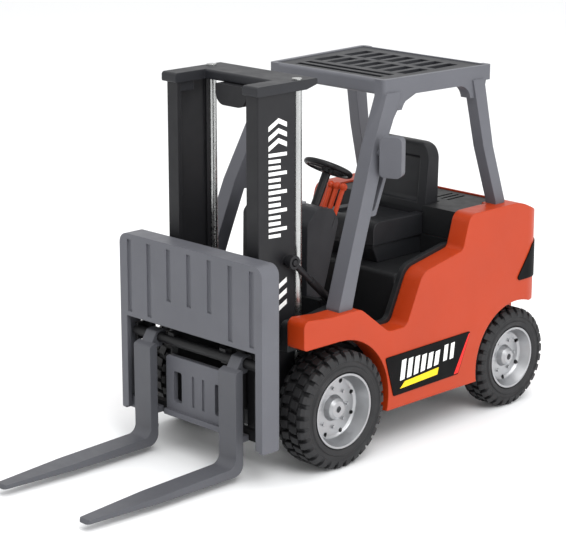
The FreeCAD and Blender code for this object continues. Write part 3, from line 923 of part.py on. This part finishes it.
def friction_drive():
    """Two-stage gear train from the rear axle up to a steel flywheel, in a split housing."""
    (ay, az), (iy, iz), (fy, fz) = gear_centres()
    a_x = -GEAR_W - 0.9
    b_x = 0.9
    first = mesh_phase(math.radians(IDLER_ANGLE), 0.0, GEAR_TEETH, PINION_TEETH)
    second = mesh_phase(math.radians(FLYWHEEL_ANGLE), 0.0, GEAR_TEETH, PINION_TEETH)
    axle_gear = involute_gear(GEAR_TEETH, a_x, GEAR_W, ay, az, 0.0)
    NODES["axle_gear"] = cut(fuse(axle_gear, rod_x(3.0, a_x - 0.7, a_x, ay, az)), rod_x(AXLE_R, -20, 20, ay, az))
    shaft_end = GEARBOX_HALF_W - 1.6 + 1.4
    NODES["idler_gear"] = fuse(involute_gear(PINION_TEETH, a_x, GEAR_W + 1.8, iy, iz, first),
                               involute_gear(GEAR_TEETH, b_x, GEAR_W, iy, iz, 0.0),
                               rod_x(SHAFT_R, -shaft_end, shaft_end, iy, iz))
    disc_x = GEARBOX_HALF_W + 1.0
    shaft = rod_x(SHAFT_R, -shaft_end, disc_x + FLYWHEEL_W, fy, fz)
    NODES["flywheel_pinion"] = fuse(involute_gear(PINION_TEETH, b_x, GEAR_W, fy, fz, second), shaft)
    disc = turned([(disc_x, SHAFT_R), (disc_x, FLYWHEEL_R, 0.6), (disc_x + FLYWHEEL_W, FLYWHEEL_R, 0.6),
                   (disc_x + FLYWHEEL_W, FLYWHEEL_R - 2.0), (disc_x + FLYWHEEL_W - 1.0, FLYWHEEL_R - 2.6),
                   (disc_x + FLYWHEEL_W - 1.0, 3.0), (disc_x + FLYWHEEL_W, 2.6), (disc_x + FLYWHEEL_W, SHAFT_R)],
                  fy, fz)
    NODES["flywheel"] = disc
    side = [(GEARBOX_FRONT, 30.0, 3), (GEARBOX_FRONT, 42.4, 4), (113.0, 42.4, 4), (GEARBOX_REAR, 30.0, 4),
            (GEARBOX_REAR, 13.2, 2), (103.0, 13.2, 2)]
    room = GEAR_MODULE * (GEAR_TEETH / 2 + 0.85) + 0.6
    small = GEAR_MODULE * (PINION_TEETH / 2 + 0.85) + 0.6
    inner = GEARBOX_HALF_W - 1.6
    cavity = [rod_x(room, -inner, inner, ay, az), rod_x(room, -inner, inner, iy, iz),
              rod_x(small, -inner, inner, fy, fz)]
    shafts = [rod_x(AXLE_R + RUN_FIT, -20, 20, ay, az), rod_x(SHAFT_R + RUN_FIT, -shaft_end - 0.1, shaft_end + 0.1, iy, iz),
              rod_x(SHAFT_R + RUN_FIT, -shaft_end - 0.1, 20, fy, fz)]
    for name, x0, x1, ear_x in (("left", 0.0, GEARBOX_HALF_W, GEARBOX_HALF_W),
                                ("right", -GEARBOX_HALF_W, 0.0, -GEARBOX_HALF_W - 4)):
        ear = block(ear_x, ear_x + 4, 108, 120, BASE_TOP, BASE_TOP + 2)
        NODES[f"gearbox_half_{name}"] = cut(fuse(side_slab(side, x0, x1), ear), *cavity, *shafts)


def build():
    """Make every piece and write it out in the truck's own frame."""
    wheels()
    body_shell()
    tail_lamps()
    side_panels()
    base_plate()
    electrics()
    cab_tub()
    screws()
    cowl()
    steering()
    seat()
    engine_cover()
    overhead_guard()
    mirror()
    mast()
    carriage()
    backrest()
    NODES["fork_left"] = fork(1)
    NODES["fork_right"] = fork(-1)
    barrel, strut_rod = tilt_cylinder()
    NODES["tilt_barrel_left"] = barrel
    NODES["tilt_barrel_right"] = mirror_x(barrel)
    NODES["tilt_rod_left"] = strut_rod
    NODES["tilt_rod_right"] = mirror_x(strut_rod)
    friction_drive()
    os.makedirs("parts", exist_ok=True)
    for name, shape in NODES.items():
        shape.translate(V(0, -Y_MID, 0))
        shape.exportStep(f"parts/{name}.step")


build()
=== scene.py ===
"""Toy forklift truck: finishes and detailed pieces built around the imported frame."""
import json
import math

import bmesh
import bpy
from mathutils import Matrix, Vector


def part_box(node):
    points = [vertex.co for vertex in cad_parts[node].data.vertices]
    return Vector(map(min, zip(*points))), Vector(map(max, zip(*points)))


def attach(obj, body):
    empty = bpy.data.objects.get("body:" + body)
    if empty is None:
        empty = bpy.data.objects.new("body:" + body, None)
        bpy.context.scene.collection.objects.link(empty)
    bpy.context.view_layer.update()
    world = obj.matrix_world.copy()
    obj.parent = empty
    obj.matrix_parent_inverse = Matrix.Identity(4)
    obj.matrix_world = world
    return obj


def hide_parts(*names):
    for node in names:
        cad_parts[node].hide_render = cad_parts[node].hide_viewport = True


MM = 0.001

# Printed marks, in millimetres: y counts back from the front axle, z up from the ground.
PRINT_LIFT = 0.06                    # thickness of the printed shapes
RAIL_FACE = 27.0                     # outer side of the mast rails
RAIL_MARKS = (-21.9, -11.7, -16.4)   # front edge, rear edge and middle of the marks on a rail
CHEVRON_TOPS = (146.2, 142.2, 138.2)
SCALE_LINES = 14
SCALE_PITCH = 2.55
SCALE_FRONT_TOP = 131.0
SCALE_REAR_TOP = 130.6
SCALE_LINE_H = 1.45
SCALE_SHORTER = 3.5                  # how much shorter the lines between every third one are
WARNING_TOPS = (80.2, 75.6, 71.0)
PANEL_FACE = 46.8                    # outer side of the door panels
SLASHES = 6
PAIR_FRONTS = (63.4, 67.6)
UNDERLINE = [(36.0, 25.9), (59.8, 26.9), (60.6, 30.0), (39.0, 28.6)]
FLASH = [(70.6, 24.4), (73.4, 24.6), (81.0, 41.2), (80.0, 40.8)]

# Corners of the skin behind the seat box, in the same millimetres.
LINER_LOW = (-34.2, 81.1, 72.1)
LINER_HIGH = (34.2, 81.45, 80.5)

# Tyres, in millimetres unless a line says otherwise.
CARCASS_STEPS = 96
FRONT_LUGS = 30
REAR_LUGS = 28
TREAD_DEPTH = 1.7                    # carcass surface below the tops of the blocks
BLOCK_ROOT = 0.4                     # feet of the blocks below the carcass surface
GROOVE_HALF = 0.45                   # half of the groove round the middle
CENTRE_END = 0.50                    # end of the inner blocks, a share of the half width
SHOULDER = 0.60                      # start of the outer blocks, a share of the half width
CENTRE_ARC = 0.62                    # length of an inner block, a share of the pitch
EDGE_ARC = 0.60                      # length of an outer block, a share of the pitch
DRAFT = 0.05                         # slope of the block ends, a share of the pitch
SKEW = 0.25                          # lean of the inner blocks, a share of the pitch
STAGGER = 0.25                       # turn of one side against the other, a share of the pitch
# Sidewall from the rim outwards: distance in from the tyre's side, share of the wall's height.
SIDEWALL = (
    (1.3, 0), (0.5, 0.08), (0.1, 0.22), (0, 0.27), (0, 0.31), (0.45, 0.35), (0.45, 0.52), (0.1, 0.57),
    (0.4, 0.66), (1.0, 0.76),
)
# Edge of the carcass: distance in from the tyre's side, drop below the carcass surface.
CARCASS_EDGE = ((2.2, 0.2), (3.4, 0))

# Rounding of the CAD nodes that are shown with softer edges.
SOFT_NODES = ("load_guard", "fork_left", "fork_right", "seat_cushion", "seat_back", "overhead_guard")
ROUND_WIDTH = 0.5                    # millimetres
ROUND_SEGMENTS = 3
ROUND_ABOVE = 50                     # degrees; flatter edges stay as they are
WELD = 0.002                         # millimetres
FLAT_WITHIN = 0.4                    # degrees

# Finishes: noise scales count waves in a metre.
NOISE_ROUGHNESS = 0.55
EDGE_LIGHTER = 1.9                   # how much lighter an edge is painted: partly wear, partly a painted highlight
EDGE_FOUND = (0.80, 0.995)           # how far the soft and true normals agree, from edge to flat
PLASTIC_BUMP = 0.35
METAL_SCRATCH = 2600
METAL_BUMP = 0.2
METAL_DEPTH = 0.01                   # millimetres
FINE_EDGE = 0.3                      # millimetres, the soft edge of metal and rubber
RUBBER_BUMP = 0.4
RUBBER_DEPTH = 0.06                  # millimetres
CLEAR_ROUGH = 0.08
CLEAR_IOR = 1.49

# Studio: metres and watts, but the camera's place and lens are in millimetres.
FLOOR_HALF = 8.0
FLOOR_DARK = (0.90, 0.91, 0.92, 1)
FLOOR_LIGHT = (0.92, 0.925, 0.93, 1)
SKY_STRENGTH = 0.95
LIGHTS_AIM = (0, 0, 0.07)
LIGHTS = (                           # name, place, disc diameter, power
    ("key", (0.75, -0.35, 1.00), 0.7, 7.0),
    ("side_fill", (1.25, 0.35, 0.45), 0.8, 4.0),
    ("top", (0.0, 0.1, 1.4), 1.1, 6.0),
)
CAMERA_PLACE = (600.65, -578.94, 298.73)
CAMERA_AZIMUTH = 45.43               # degrees round from the front to the truck's left
CAMERA_ELEVATION = 15.11             # degrees
CAMERA_LENS = 130.8
CAMERA_SENSOR = 36.0
CAMERA_CLIP = (0.05, 60.0)

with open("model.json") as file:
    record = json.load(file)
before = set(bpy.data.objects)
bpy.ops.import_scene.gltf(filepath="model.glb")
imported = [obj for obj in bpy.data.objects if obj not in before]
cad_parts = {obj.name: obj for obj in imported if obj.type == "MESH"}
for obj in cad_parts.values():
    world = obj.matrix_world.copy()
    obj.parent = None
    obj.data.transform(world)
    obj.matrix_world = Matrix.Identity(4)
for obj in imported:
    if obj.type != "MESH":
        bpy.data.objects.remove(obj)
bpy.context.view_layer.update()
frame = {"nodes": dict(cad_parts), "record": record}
BODY_OF = {node: body for body, nodes in frame["record"]["behaviour"]["bodies"].items() for node in nodes}
SLOT_OF = {part["node"]: part["material_slot"] for part in frame["record"]["subparts"]}


def centre_of(node):
    """Middle of a CAD node's box, in metres."""
    low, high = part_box(node)
    return (Vector(low) + Vector(high)) / 2


AXLE_Y = centre_of("front_axle").y


def at(x, y, z):
    """Point given in millimetres, with y counted back from the front axle."""
    return Vector((x * MM, y * MM + AXLE_Y, z * MM))


# ----------------------------------------------------------------------- materials
def linear(red, green, blue):
    """Scene colour of an 8-bit display colour."""
    def channel(value):
        value /= 255
        return value / 12.92 if value <= 0.04045 else ((value + 0.055) / 1.055) ** 2.4
    return (channel(red), channel(green), channel(blue), 1.0)


def shade(colour, factor):
    """The colour made lighter or darker."""
    return tuple(min(1.0, c * factor) for c in colour[:3]) + (1.0,)


class Finish:
    """A procedural material whose nodes are added one by one."""

    def __init__(self, name):
        self.material = bpy.data.materials.new(name)
        self.material.use_nodes = True
        self.tree = self.material.node_tree
        self.shader = self.tree.nodes["Principled BSDF"]
        self.place = self.add("ShaderNodeTexCoord").outputs["Object"]

    def add(self, kind, **settings):
        node = self.tree.nodes.new(kind)
        for key, value in settings.items():
            setattr(node, key, value)
        return node

    def link(self, source, target):
        self.tree.links.new(source, target)

    def noise(self, scale, detail):
        node = self.add("ShaderNodeTexNoise")
        node.inputs["Scale"].default_value = scale
        node.inputs["Detail"].default_value = detail
        node.inputs["Roughness"].default_value = NOISE_ROUGHNESS
        self.link(self.place, node.inputs["Vector"])
        return node.outputs["Fac"]

    def spread(self, source, low, high, start=0.3, stop=0.7):
        node = self.add("ShaderNodeMapRange")
        node.inputs["From Min"].default_value = start
        node.inputs["From Max"].default_value = stop
        node.inputs["To Min"].default_value = low
        node.inputs["To Max"].default_value = high
        self.link(source, node.inputs["Value"])
        return node.outputs["Result"]

    def ramp(self, source, *stops):
        node = self.add("ShaderNodeValToRGB")
        ramp = node.color_ramp
        while len(ramp.elements) < len(stops):
            ramp.elements.new(0.5)
        for element, (position, colour) in zip(ramp.elements, stops):
            element.position = position
            element.color = colour
        self.link(source, node.inputs["Fac"])
        return node.outputs["Color"]

    def soft_normal(self, radius, samples):
        """Normal that turns smoothly round the edges; the radius is in millimetres."""
        node = self.add("ShaderNodeBevel", samples=samples)
        node.inputs["Radius"].default_value = radius * MM
        return node.outputs["Normal"]

    def relief(self, height, normal, strength, depth):
        """Fine grain laid over a normal and given to the shader; the depth is in millimetres."""
        node = self.add("ShaderNodeBump")
        node.inputs["Strength"].default_value = strength
        node.inputs["Distance"].default_value = depth * MM
        self.link(height, node.inputs["Height"])
        self.link(normal, node.inputs["Normal"])
        self.link(node.outputs["Normal"], self.shader.inputs["Normal"])

    def socket(self, name, value):
        self.shader.inputs[name].default_value = value


def moulded(name, colour, rough, grain=900, depth=0.03, edge=0.45, mottle=0.05, edge_wear_and_highlight=0.12, shine=0.32):
    """Moulded plastic: faint flow mottling, fine spark grain, soft edges painted lighter, partly as wear
    and partly as a painted highlight.
    """
    f = Finish(name)
    flow = f.ramp(f.noise(38, 4), (0.3, shade(colour, 1 - mottle)), (0.7, shade(colour, 1 + mottle)))
    soft = f.soft_normal(edge, 6)
    geometry = f.add("ShaderNodeNewGeometry")
    dot = f.add("ShaderNodeVectorMath", operation="DOT_PRODUCT")
    f.link(soft, dot.inputs[0])
    f.link(geometry.outputs["Normal"], dot.inputs[1])
    # Edges are painted lighter: partly wear, partly a painted highlight standing in for light catching the
    # edges.
    wear_and_highlight_mask = f.spread(dot.outputs["Value"], edge_wear_and_highlight, 0.0, *EDGE_FOUND)
    mix = f.add("ShaderNodeMix", data_type="RGBA")
    f.link(wear_and_highlight_mask, mix.inputs["Factor"])
    f.link(flow, mix.inputs["A"])
    mix.inputs["B"].default_value = shade(colour, EDGE_LIGHTER)
    f.link(mix.outputs["Result"], f.shader.inputs["Base Color"])
    f.link(f.spread(f.noise(160, 3), rough - 0.05, rough + 0.06), f.shader.inputs["Roughness"])
    f.relief(f.noise(grain, 2), soft, PLASTIC_BUMP, depth)
    f.socket("Specular IOR Level", shine)
    return f.material


def metal(name, colour, rough):
    """Plated or drawn metal with faint haze and hairline marks."""
    f = Finish(name)
    f.socket("Metallic", 1.0)
    tint = f.ramp(f.noise(60, 4), (0.3, shade(colour, 0.93)), (0.7, shade(colour, 1.03)))
    f.link(tint, f.shader.inputs["Base Color"])
    f.link(f.spread(f.noise(420, 5), rough - 0.05, rough + 0.09), f.shader.inputs["Roughness"])
    f.relief(f.noise(METAL_SCRATCH, 2), f.soft_normal(FINE_EDGE, 4), METAL_BUMP, METAL_DEPTH)
    return f.material


def rubber(name, colour):
    """Dull tyre rubber with dust in the low places and a slightly polished tread."""
    f = Finish(name)
    flow = f.ramp(f.noise(55, 5), (0.25, shade(colour, 0.8)), (0.6, colour), (0.85, shade(colour, 1.5)))
    f.link(flow, f.shader.inputs["Base Color"])
    f.link(f.spread(f.noise(140, 4), 0.5, 0.68), f.shader.inputs["Roughness"])
    f.socket("Specular IOR Level", 0.42)
    f.relief(f.noise(1100, 4), f.soft_normal(FINE_EDGE, 4), RUBBER_BUMP, RUBBER_DEPTH)
    return f.material


def clear(name, colour, transmission):
    """Tinted clear plastic or glass with faint moulding waves."""
    f = Finish(name)
    f.link(f.ramp(f.noise(80, 2), (0.3, shade(colour, 0.92)), (0.7, colour)), f.shader.inputs["Base Color"])
    f.link(f.spread(f.noise(300, 2), CLEAR_ROUGH, CLEAR_ROUGH + 0.06), f.shader.inputs["Roughness"])
    f.socket("Transmission Weight", transmission)
    f.socket("IOR", CLEAR_IOR)
    return f.material


def printed(name, colour):
    """Flat printing ink, without the lighter edges painted for wear and highlight."""
    return moulded(name, colour, 0.5, grain=1800, depth=0.005, edge=0.05, edge_wear_and_highlight=0.0)


ORANGE = linear(172, 54, 14)
GREY = linear(92, 93, 99)

MATERIALS = {
    "orange_body": moulded("orange_body", ORANGE, 0.42, grain=1400, depth=0.012, edge=0.7, mottle=0.04),
    "guard_grey": moulded("guard_grey", GREY, 0.46, grain=1300, depth=0.015, edge=0.5, edge_wear_and_highlight=0.14),
    "mast_black": moulded(
        "mast_black", linear(24, 24, 27), 0.5, grain=1300, depth=0.012, edge=0.4, edge_wear_and_highlight=0.08),
    "cab_black": moulded(
        "cab_black", linear(24, 25, 27), 0.52, grain=1200, depth=0.02, edge=0.5, edge_wear_and_highlight=0.1),
    "carriage_black": moulded(
        "carriage_black", linear(19, 19, 21), 0.52, grain=1200, depth=0.02, edge=0.4, edge_wear_and_highlight=0.08),
    "dash_grey": moulded(
        "dash_grey", linear(32, 33, 37), 0.48, grain=1200, depth=0.02, edge=0.5, edge_wear_and_highlight=0.14),
    "seat_black": moulded("seat_black", linear(27, 28, 31), 0.46, grain=1000, edge=0.8, edge_wear_and_highlight=0.1),
    "fork_grey": moulded(
        "fork_grey", linear(80, 81, 86), 0.46, grain=1300, depth=0.015, edge=0.5, edge_wear_and_highlight=0.14),
    "tyre": rubber("tyre", linear(27, 27, 29)),
    "rim_silver": metal("rim_silver", linear(172, 173, 175), 0.34),
    "lever_orange": moulded("lever_orange", ORANGE, 0.4, edge=0.3),
    "panel_black": moulded("panel_black", linear(4, 4, 5), 0.6, edge=0.15, shine=0.12),
    "lamp_red": clear("lamp_red", linear(214, 28, 26), 0.45),
    "mirror_glass": metal("mirror_glass", linear(160, 163, 168), 0.12),
    "steel": metal("steel", linear(180, 180, 182), 0.3),
    "lift_steel": metal("lift_steel", linear(178, 179, 178), 0.26),
    "gear_nylon": moulded("gear_nylon", linear(228, 226, 214), 0.5, edge=0.1),
    "gearbox_grey": moulded("gearbox_grey", linear(140, 142, 146), 0.5, edge=0.3),
    "button_red": moulded("button_red", linear(190, 36, 28), 0.32, edge=0.4),
    "cell_steel": metal("cell_steel", linear(200, 200, 202), 0.26),
    "board_green": moulded("board_green", linear(40, 104, 66), 0.45, edge=0.1),
    "bulb_clear": clear("bulb_clear", linear(240, 240, 232), 0.8),
    "wheel_black": moulded("wheel_black", linear(20, 20, 22), 0.42, grain=1000, edge=0.3, edge_wear_and_highlight=0.1),
}
PRINT_WHITE = printed("print_white", linear(244, 244, 242))
PRINT_YELLOW = printed("print_yellow", linear(240, 206, 20))
PRINT_RED = printed("print_red", linear(226, 30, 22))


def dress(piece, slot, body):
    """Gives a new piece its finish and the body that it rides on."""
    piece.data.materials.clear()
    piece.data.materials.append(MATERIALS[slot])
    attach(piece, body)


def finish_cad_nodes():
    """Puts each CAD node's finish on it."""
    for name, piece in frame["nodes"].items():
        materials = piece.data.materials
        if len(materials) == 0:
            materials.append(MATERIALS[SLOT_OF[name]])
        for index in range(len(materials)):
            materials[index] = MATERIALS[SLOT_OF[name]]


# ---------------------------------------------------------------------- mesh tools
def piece_from(name, work, smooth_angle=35):
    """New object holding a bmesh, shaded smooth across edges flatter than the angle."""
    mesh = bpy.data.meshes.new(name)
    bmesh.ops.recalc_face_normals(work, faces=work.faces)
    work.to_mesh(mesh)
    work.free()
    mesh.shade_smooth()
    mesh.set_sharp_from_angle(angle=math.radians(smooth_angle))
    piece = bpy.data.objects.new(name, mesh)
    bpy.context.scene.collection.objects.link(piece)
    return piece


def settle(piece):
    """Applies the piece's modifiers to its mesh."""
    bpy.context.view_layer.update()
    graph = bpy.context.evaluated_depsgraph_get()
    mesh = bpy.data.meshes.new_from_object(piece.evaluated_get(graph))
    piece.modifiers.clear()
    piece.data = mesh


def revolve(work, profile, steps):
    """Turns a closed outline of (across, radius) points about the X axis."""
    rings = []
    for step in range(steps):
        angle = 2 * math.pi * step / steps
        rings.append([work.verts.new((u, r * math.cos(angle), r * math.sin(angle))) for u, r in profile])
    for step in range(steps):
        here, there = rings[step], rings[(step + 1) % steps]
        for i in range(len(profile)):
            j = (i + 1) % len(profile)
            work.faces.new((here[i], here[j], there[j], there[i]))


def lug(work, section, start, stop, skew, draft):
    """One tread block: a strip of (across, top radius, foot radius) swept over a small angle."""
    columns = []
    for u, top, foot in section:
        lean = skew * u
        column = []
        for turn, radius in ((start - draft, foot), (start, top), ((start + stop) / 2, top), (stop, top),
                             (stop + draft, foot)):
            angle = turn + lean
            column.append(work.verts.new((u, radius * math.cos(angle), radius * math.sin(angle))))
        columns.append(column)
    for here, there in zip(columns, columns[1:]):
        for i in range(4):
            work.faces.new((here[i], here[i + 1], there[i + 1], there[i]))
        work.faces.new((here[4], here[0], there[0], there[4]))
    for column in (columns[0], columns[-1]):
        work.faces.new(column)


def tyre(node, lugs):
    """Chunky tyre: a carcass with a ringed sidewall, and four staggered rows of tread blocks."""
    low, high = (Vector(corner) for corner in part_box(node))
    middle = (low + high) / 2
    half = (high.x - low.x) / 2
    radius = (high.z - low.z) / 2
    rim_low, rim_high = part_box(node.replace("tyre", "rim"))
    bore = (rim_high[2] - rim_low[2]) / 2
    wall = radius - bore
    tread = radius - TREAD_DEPTH * MM
    outer = [(half - inset * MM, bore + share * wall) for inset, share in SIDEWALL]
    outer += [(half - inset * MM, tread - drop * MM) for inset, drop in CARCASS_EDGE]
    profile = [(-u, r) for u, r in outer] + [(u, r) for u, r in reversed(outer)]
    work = bmesh.new()
    revolve(work, profile, CARCASS_STEPS)
    pitch = 2 * math.pi / lugs
    draft = DRAFT * pitch
    foot = tread - BLOCK_ROOT * MM
    centre_end = half * CENTRE_END
    for side in (-1, 1):
        centre_strip = [(side * u, radius - 0.02 * MM, foot)
                        for u in (GROOVE_HALF * MM, centre_end * 0.6, centre_end)]
        edge_strip = [
            (side * half * SHOULDER, radius, foot),
            (side * (half - 1.7 * MM), radius - 0.25 * MM, tread - 0.7 * MM),
            (side * (half - 0.5 * MM), radius - 1.5 * MM, tread - 1.6 * MM),
            (side * (half - 0.05 * MM), radius - 3.1 * MM, radius - 3.9 * MM),
        ]
        for i in range(lugs):
            turn = i * pitch + (STAGGER * pitch if side > 0 else 0)
            lug(work, centre_strip, turn, turn + CENTRE_ARC * pitch, side * SKEW * pitch / half, draft)
            turn += 0.5 * pitch
            lug(work, edge_strip, turn, turn + EDGE_ARC * pitch, 0, draft)
    piece = piece_from(node.replace("tyre", "tread_tyre"), work, 28)
    piece.data.transform(Matrix.Translation(middle))
    dress(piece, "tyre", BODY_OF[node])
    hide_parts(node)


def decal(name, outlines, face_x, material, body, side):
    """Thin printed shapes on a side wall; outlines are lists of (y, z) in millimetres."""
    work = bmesh.new()
    for outline in outlines:
        inner = [work.verts.new(at(side * face_x, y, z)) for y, z in outline]
        outer = [work.verts.new(at(side * (face_x + PRINT_LIFT), y, z)) for y, z in outline]
        work.faces.new(inner)
        work.faces.new(outer)
        for i in range(len(outline)):
            j = (i + 1) % len(outline)
            work.faces.new((inner[i], inner[j], outer[j], outer[i]))
    piece = piece_from(name, work)
    piece.data.materials.append(material)
    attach(piece, body)


def bar(y0, z0, y1, z1, tall, lean=0):
    """Outline of a straight printed bar, leaning by the given run at its upper edge."""
    return [(y0, z0), (y1, z1), (y1 + lean, z1 + tall), (y0 + lean, z0 + tall)]


def printed_marks():
    """Chevrons, a height scale and warning bars on the rails, and stripes on the door panels."""
    front, rear, middle = RAIL_MARKS
    chevrons = [[(front, top - 2.9), (middle, top), (rear, top - 2.1), (rear, top - 4.1),
                 (middle, top - 2.0), (front, top - 4.9)] for top in CHEVRON_TOPS]
    scale = [bar(front, SCALE_FRONT_TOP - SCALE_PITCH * i, rear if i % 3 == 0 else rear - SCALE_SHORTER,
                 SCALE_REAR_TOP - SCALE_PITCH * i, SCALE_LINE_H) for i in range(SCALE_LINES)]
    warning = [[(front, top - 5.2), (rear, top), (rear, top - 2.1), (front, top - 7.3)]
               for top in WARNING_TOPS]
    slashes = [bar(35.9 + 4.3 * i, 29.4 + 0.35 * i, 38.7 + 4.3 * i, 29.7 + 0.35 * i, 8.8 - 0.5 * i, 1.2)
               for i in range(SLASHES)]
    pair = [bar(y, 32.0, y + 2.4, 32.2, 7.0, 0.9) for y in PAIR_FRONTS]
    marks = (
        ("rail_chevrons_", chevrons, RAIL_FACE, PRINT_WHITE, "mast"),
        ("rail_scale_", scale, RAIL_FACE, PRINT_WHITE, "mast"),
        ("rail_warning_", warning, RAIL_FACE, PRINT_WHITE, "mast"),
        ("door_slashes_", slashes + pair, PANEL_FACE, PRINT_WHITE, "chassis"),
        ("door_underline_", [UNDERLINE], PANEL_FACE, PRINT_YELLOW, "chassis"),
        ("door_flash_", [FLASH], PANEL_FACE, PRINT_RED, "chassis"),
    )
    for side, end in ((1, "left"), (-1, "right")):
        for name, outlines, face_x, material, body in marks:
            decal(name + end, outlines, face_x, material, body, side)


def seat_well_liner():
    """Black skin over the bulkhead behind the seat box, between the box and the rear cover."""
    work = bmesh.new()
    bmesh.ops.create_cube(work, size=1.0)
    piece = piece_from("seat_well_liner", work)
    low, high = at(*LINER_LOW), at(*LINER_HIGH)
    piece.data.transform(Matrix.Translation((low + high) / 2) @ Matrix.Diagonal((*(high - low), 1.0)))
    dress(piece, "cab_black", "chassis")


def softened(node):
    """Replaces a CAD node with a copy whose edges are really rounded."""
    source = frame["nodes"][node]
    work = bmesh.new()
    work.from_mesh(source.data)
    bmesh.ops.remove_doubles(work, verts=work.verts, dist=WELD * MM)
    bmesh.ops.dissolve_limit(work, angle_limit=math.radians(FLAT_WITHIN), verts=work.verts,
                             edges=work.edges)
    piece = piece_from(node + "_moulding", work, 30)
    piece.matrix_world = source.matrix_world.copy()
    rounding = piece.modifiers.new("rounding", "BEVEL")
    rounding.width = ROUND_WIDTH * MM
    rounding.segments = ROUND_SEGMENTS
    rounding.limit_method = "ANGLE"
    rounding.angle_limit = math.radians(ROUND_ABOVE)
    rounding.harden_normals = True
    settle(piece)
    dress(piece, SLOT_OF[node], BODY_OF[node])
    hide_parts(node)


# ------------------------------------------------------------------------- studio
def studio():
    """Pale floor, soft lights and the camera."""
    work = bmesh.new()
    bmesh.ops.create_grid(work, x_segments=1, y_segments=1, size=FLOOR_HALF)
    floor = piece_from("studio_floor", work)
    f = Finish("studio_floor")
    f.link(f.ramp(f.noise(1.5, 2), (0.3, FLOOR_DARK), (0.7, FLOOR_LIGHT)), f.shader.inputs["Base Color"])
    f.socket("Roughness", 0.8)
    floor.data.materials.append(f.material)
    world = bpy.data.worlds.new("studio_world")
    world.use_nodes = True
    world.node_tree.nodes["Background"].inputs["Color"].default_value = (1.0, 1.0, 1.0, 1.0)
    world.node_tree.nodes["Background"].inputs["Strength"].default_value = SKY_STRENGTH
    bpy.context.scene.world = world
    for name, place, size, power in LIGHTS:
        lamp = bpy.data.lights.new(name, "AREA")
        lamp.shape = "DISK"
        lamp.size = size
        lamp.energy = power
        holder = bpy.data.objects.new(name, lamp)
        holder.location = place
        holder.rotation_euler = (Vector(LIGHTS_AIM) - Vector(place)).to_track_quat("-Z", "Y").to_euler()
        bpy.context.scene.collection.objects.link(holder)
    azimuth, elevation = math.radians(CAMERA_AZIMUTH), math.radians(CAMERA_ELEVATION)
    back = Vector((math.sin(azimuth) * math.cos(elevation), -math.cos(azimuth) * math.cos(elevation),
                   math.sin(elevation)))
    data = bpy.data.cameras.new("camera")
    data.lens = CAMERA_LENS
    data.sensor_width = CAMERA_SENSOR
    data.clip_start, data.clip_end = CAMERA_CLIP
    camera = bpy.data.objects.new("camera", data)
    camera.location = at(*CAMERA_PLACE)
    camera.rotation_mode = "QUATERNION"
    camera.rotation_quaternion = (-back).to_track_quat("-Z", "Y")
    bpy.context.scene.collection.objects.link(camera)
    bpy.context.scene.camera = camera
    bpy.context.scene.view_settings.view_transform = "Standard"


studio()
finish_cad_nodes()
for side in ("left", "right"):
    tyre("front_tyre_" + side, FRONT_LUGS)
for side in ("left", "right"):
    tyre("rear_tyre_" + side, REAR_LUGS)
for node in SOFT_NODES:
    softened(node)
printed_marks()
seat_well_liner()
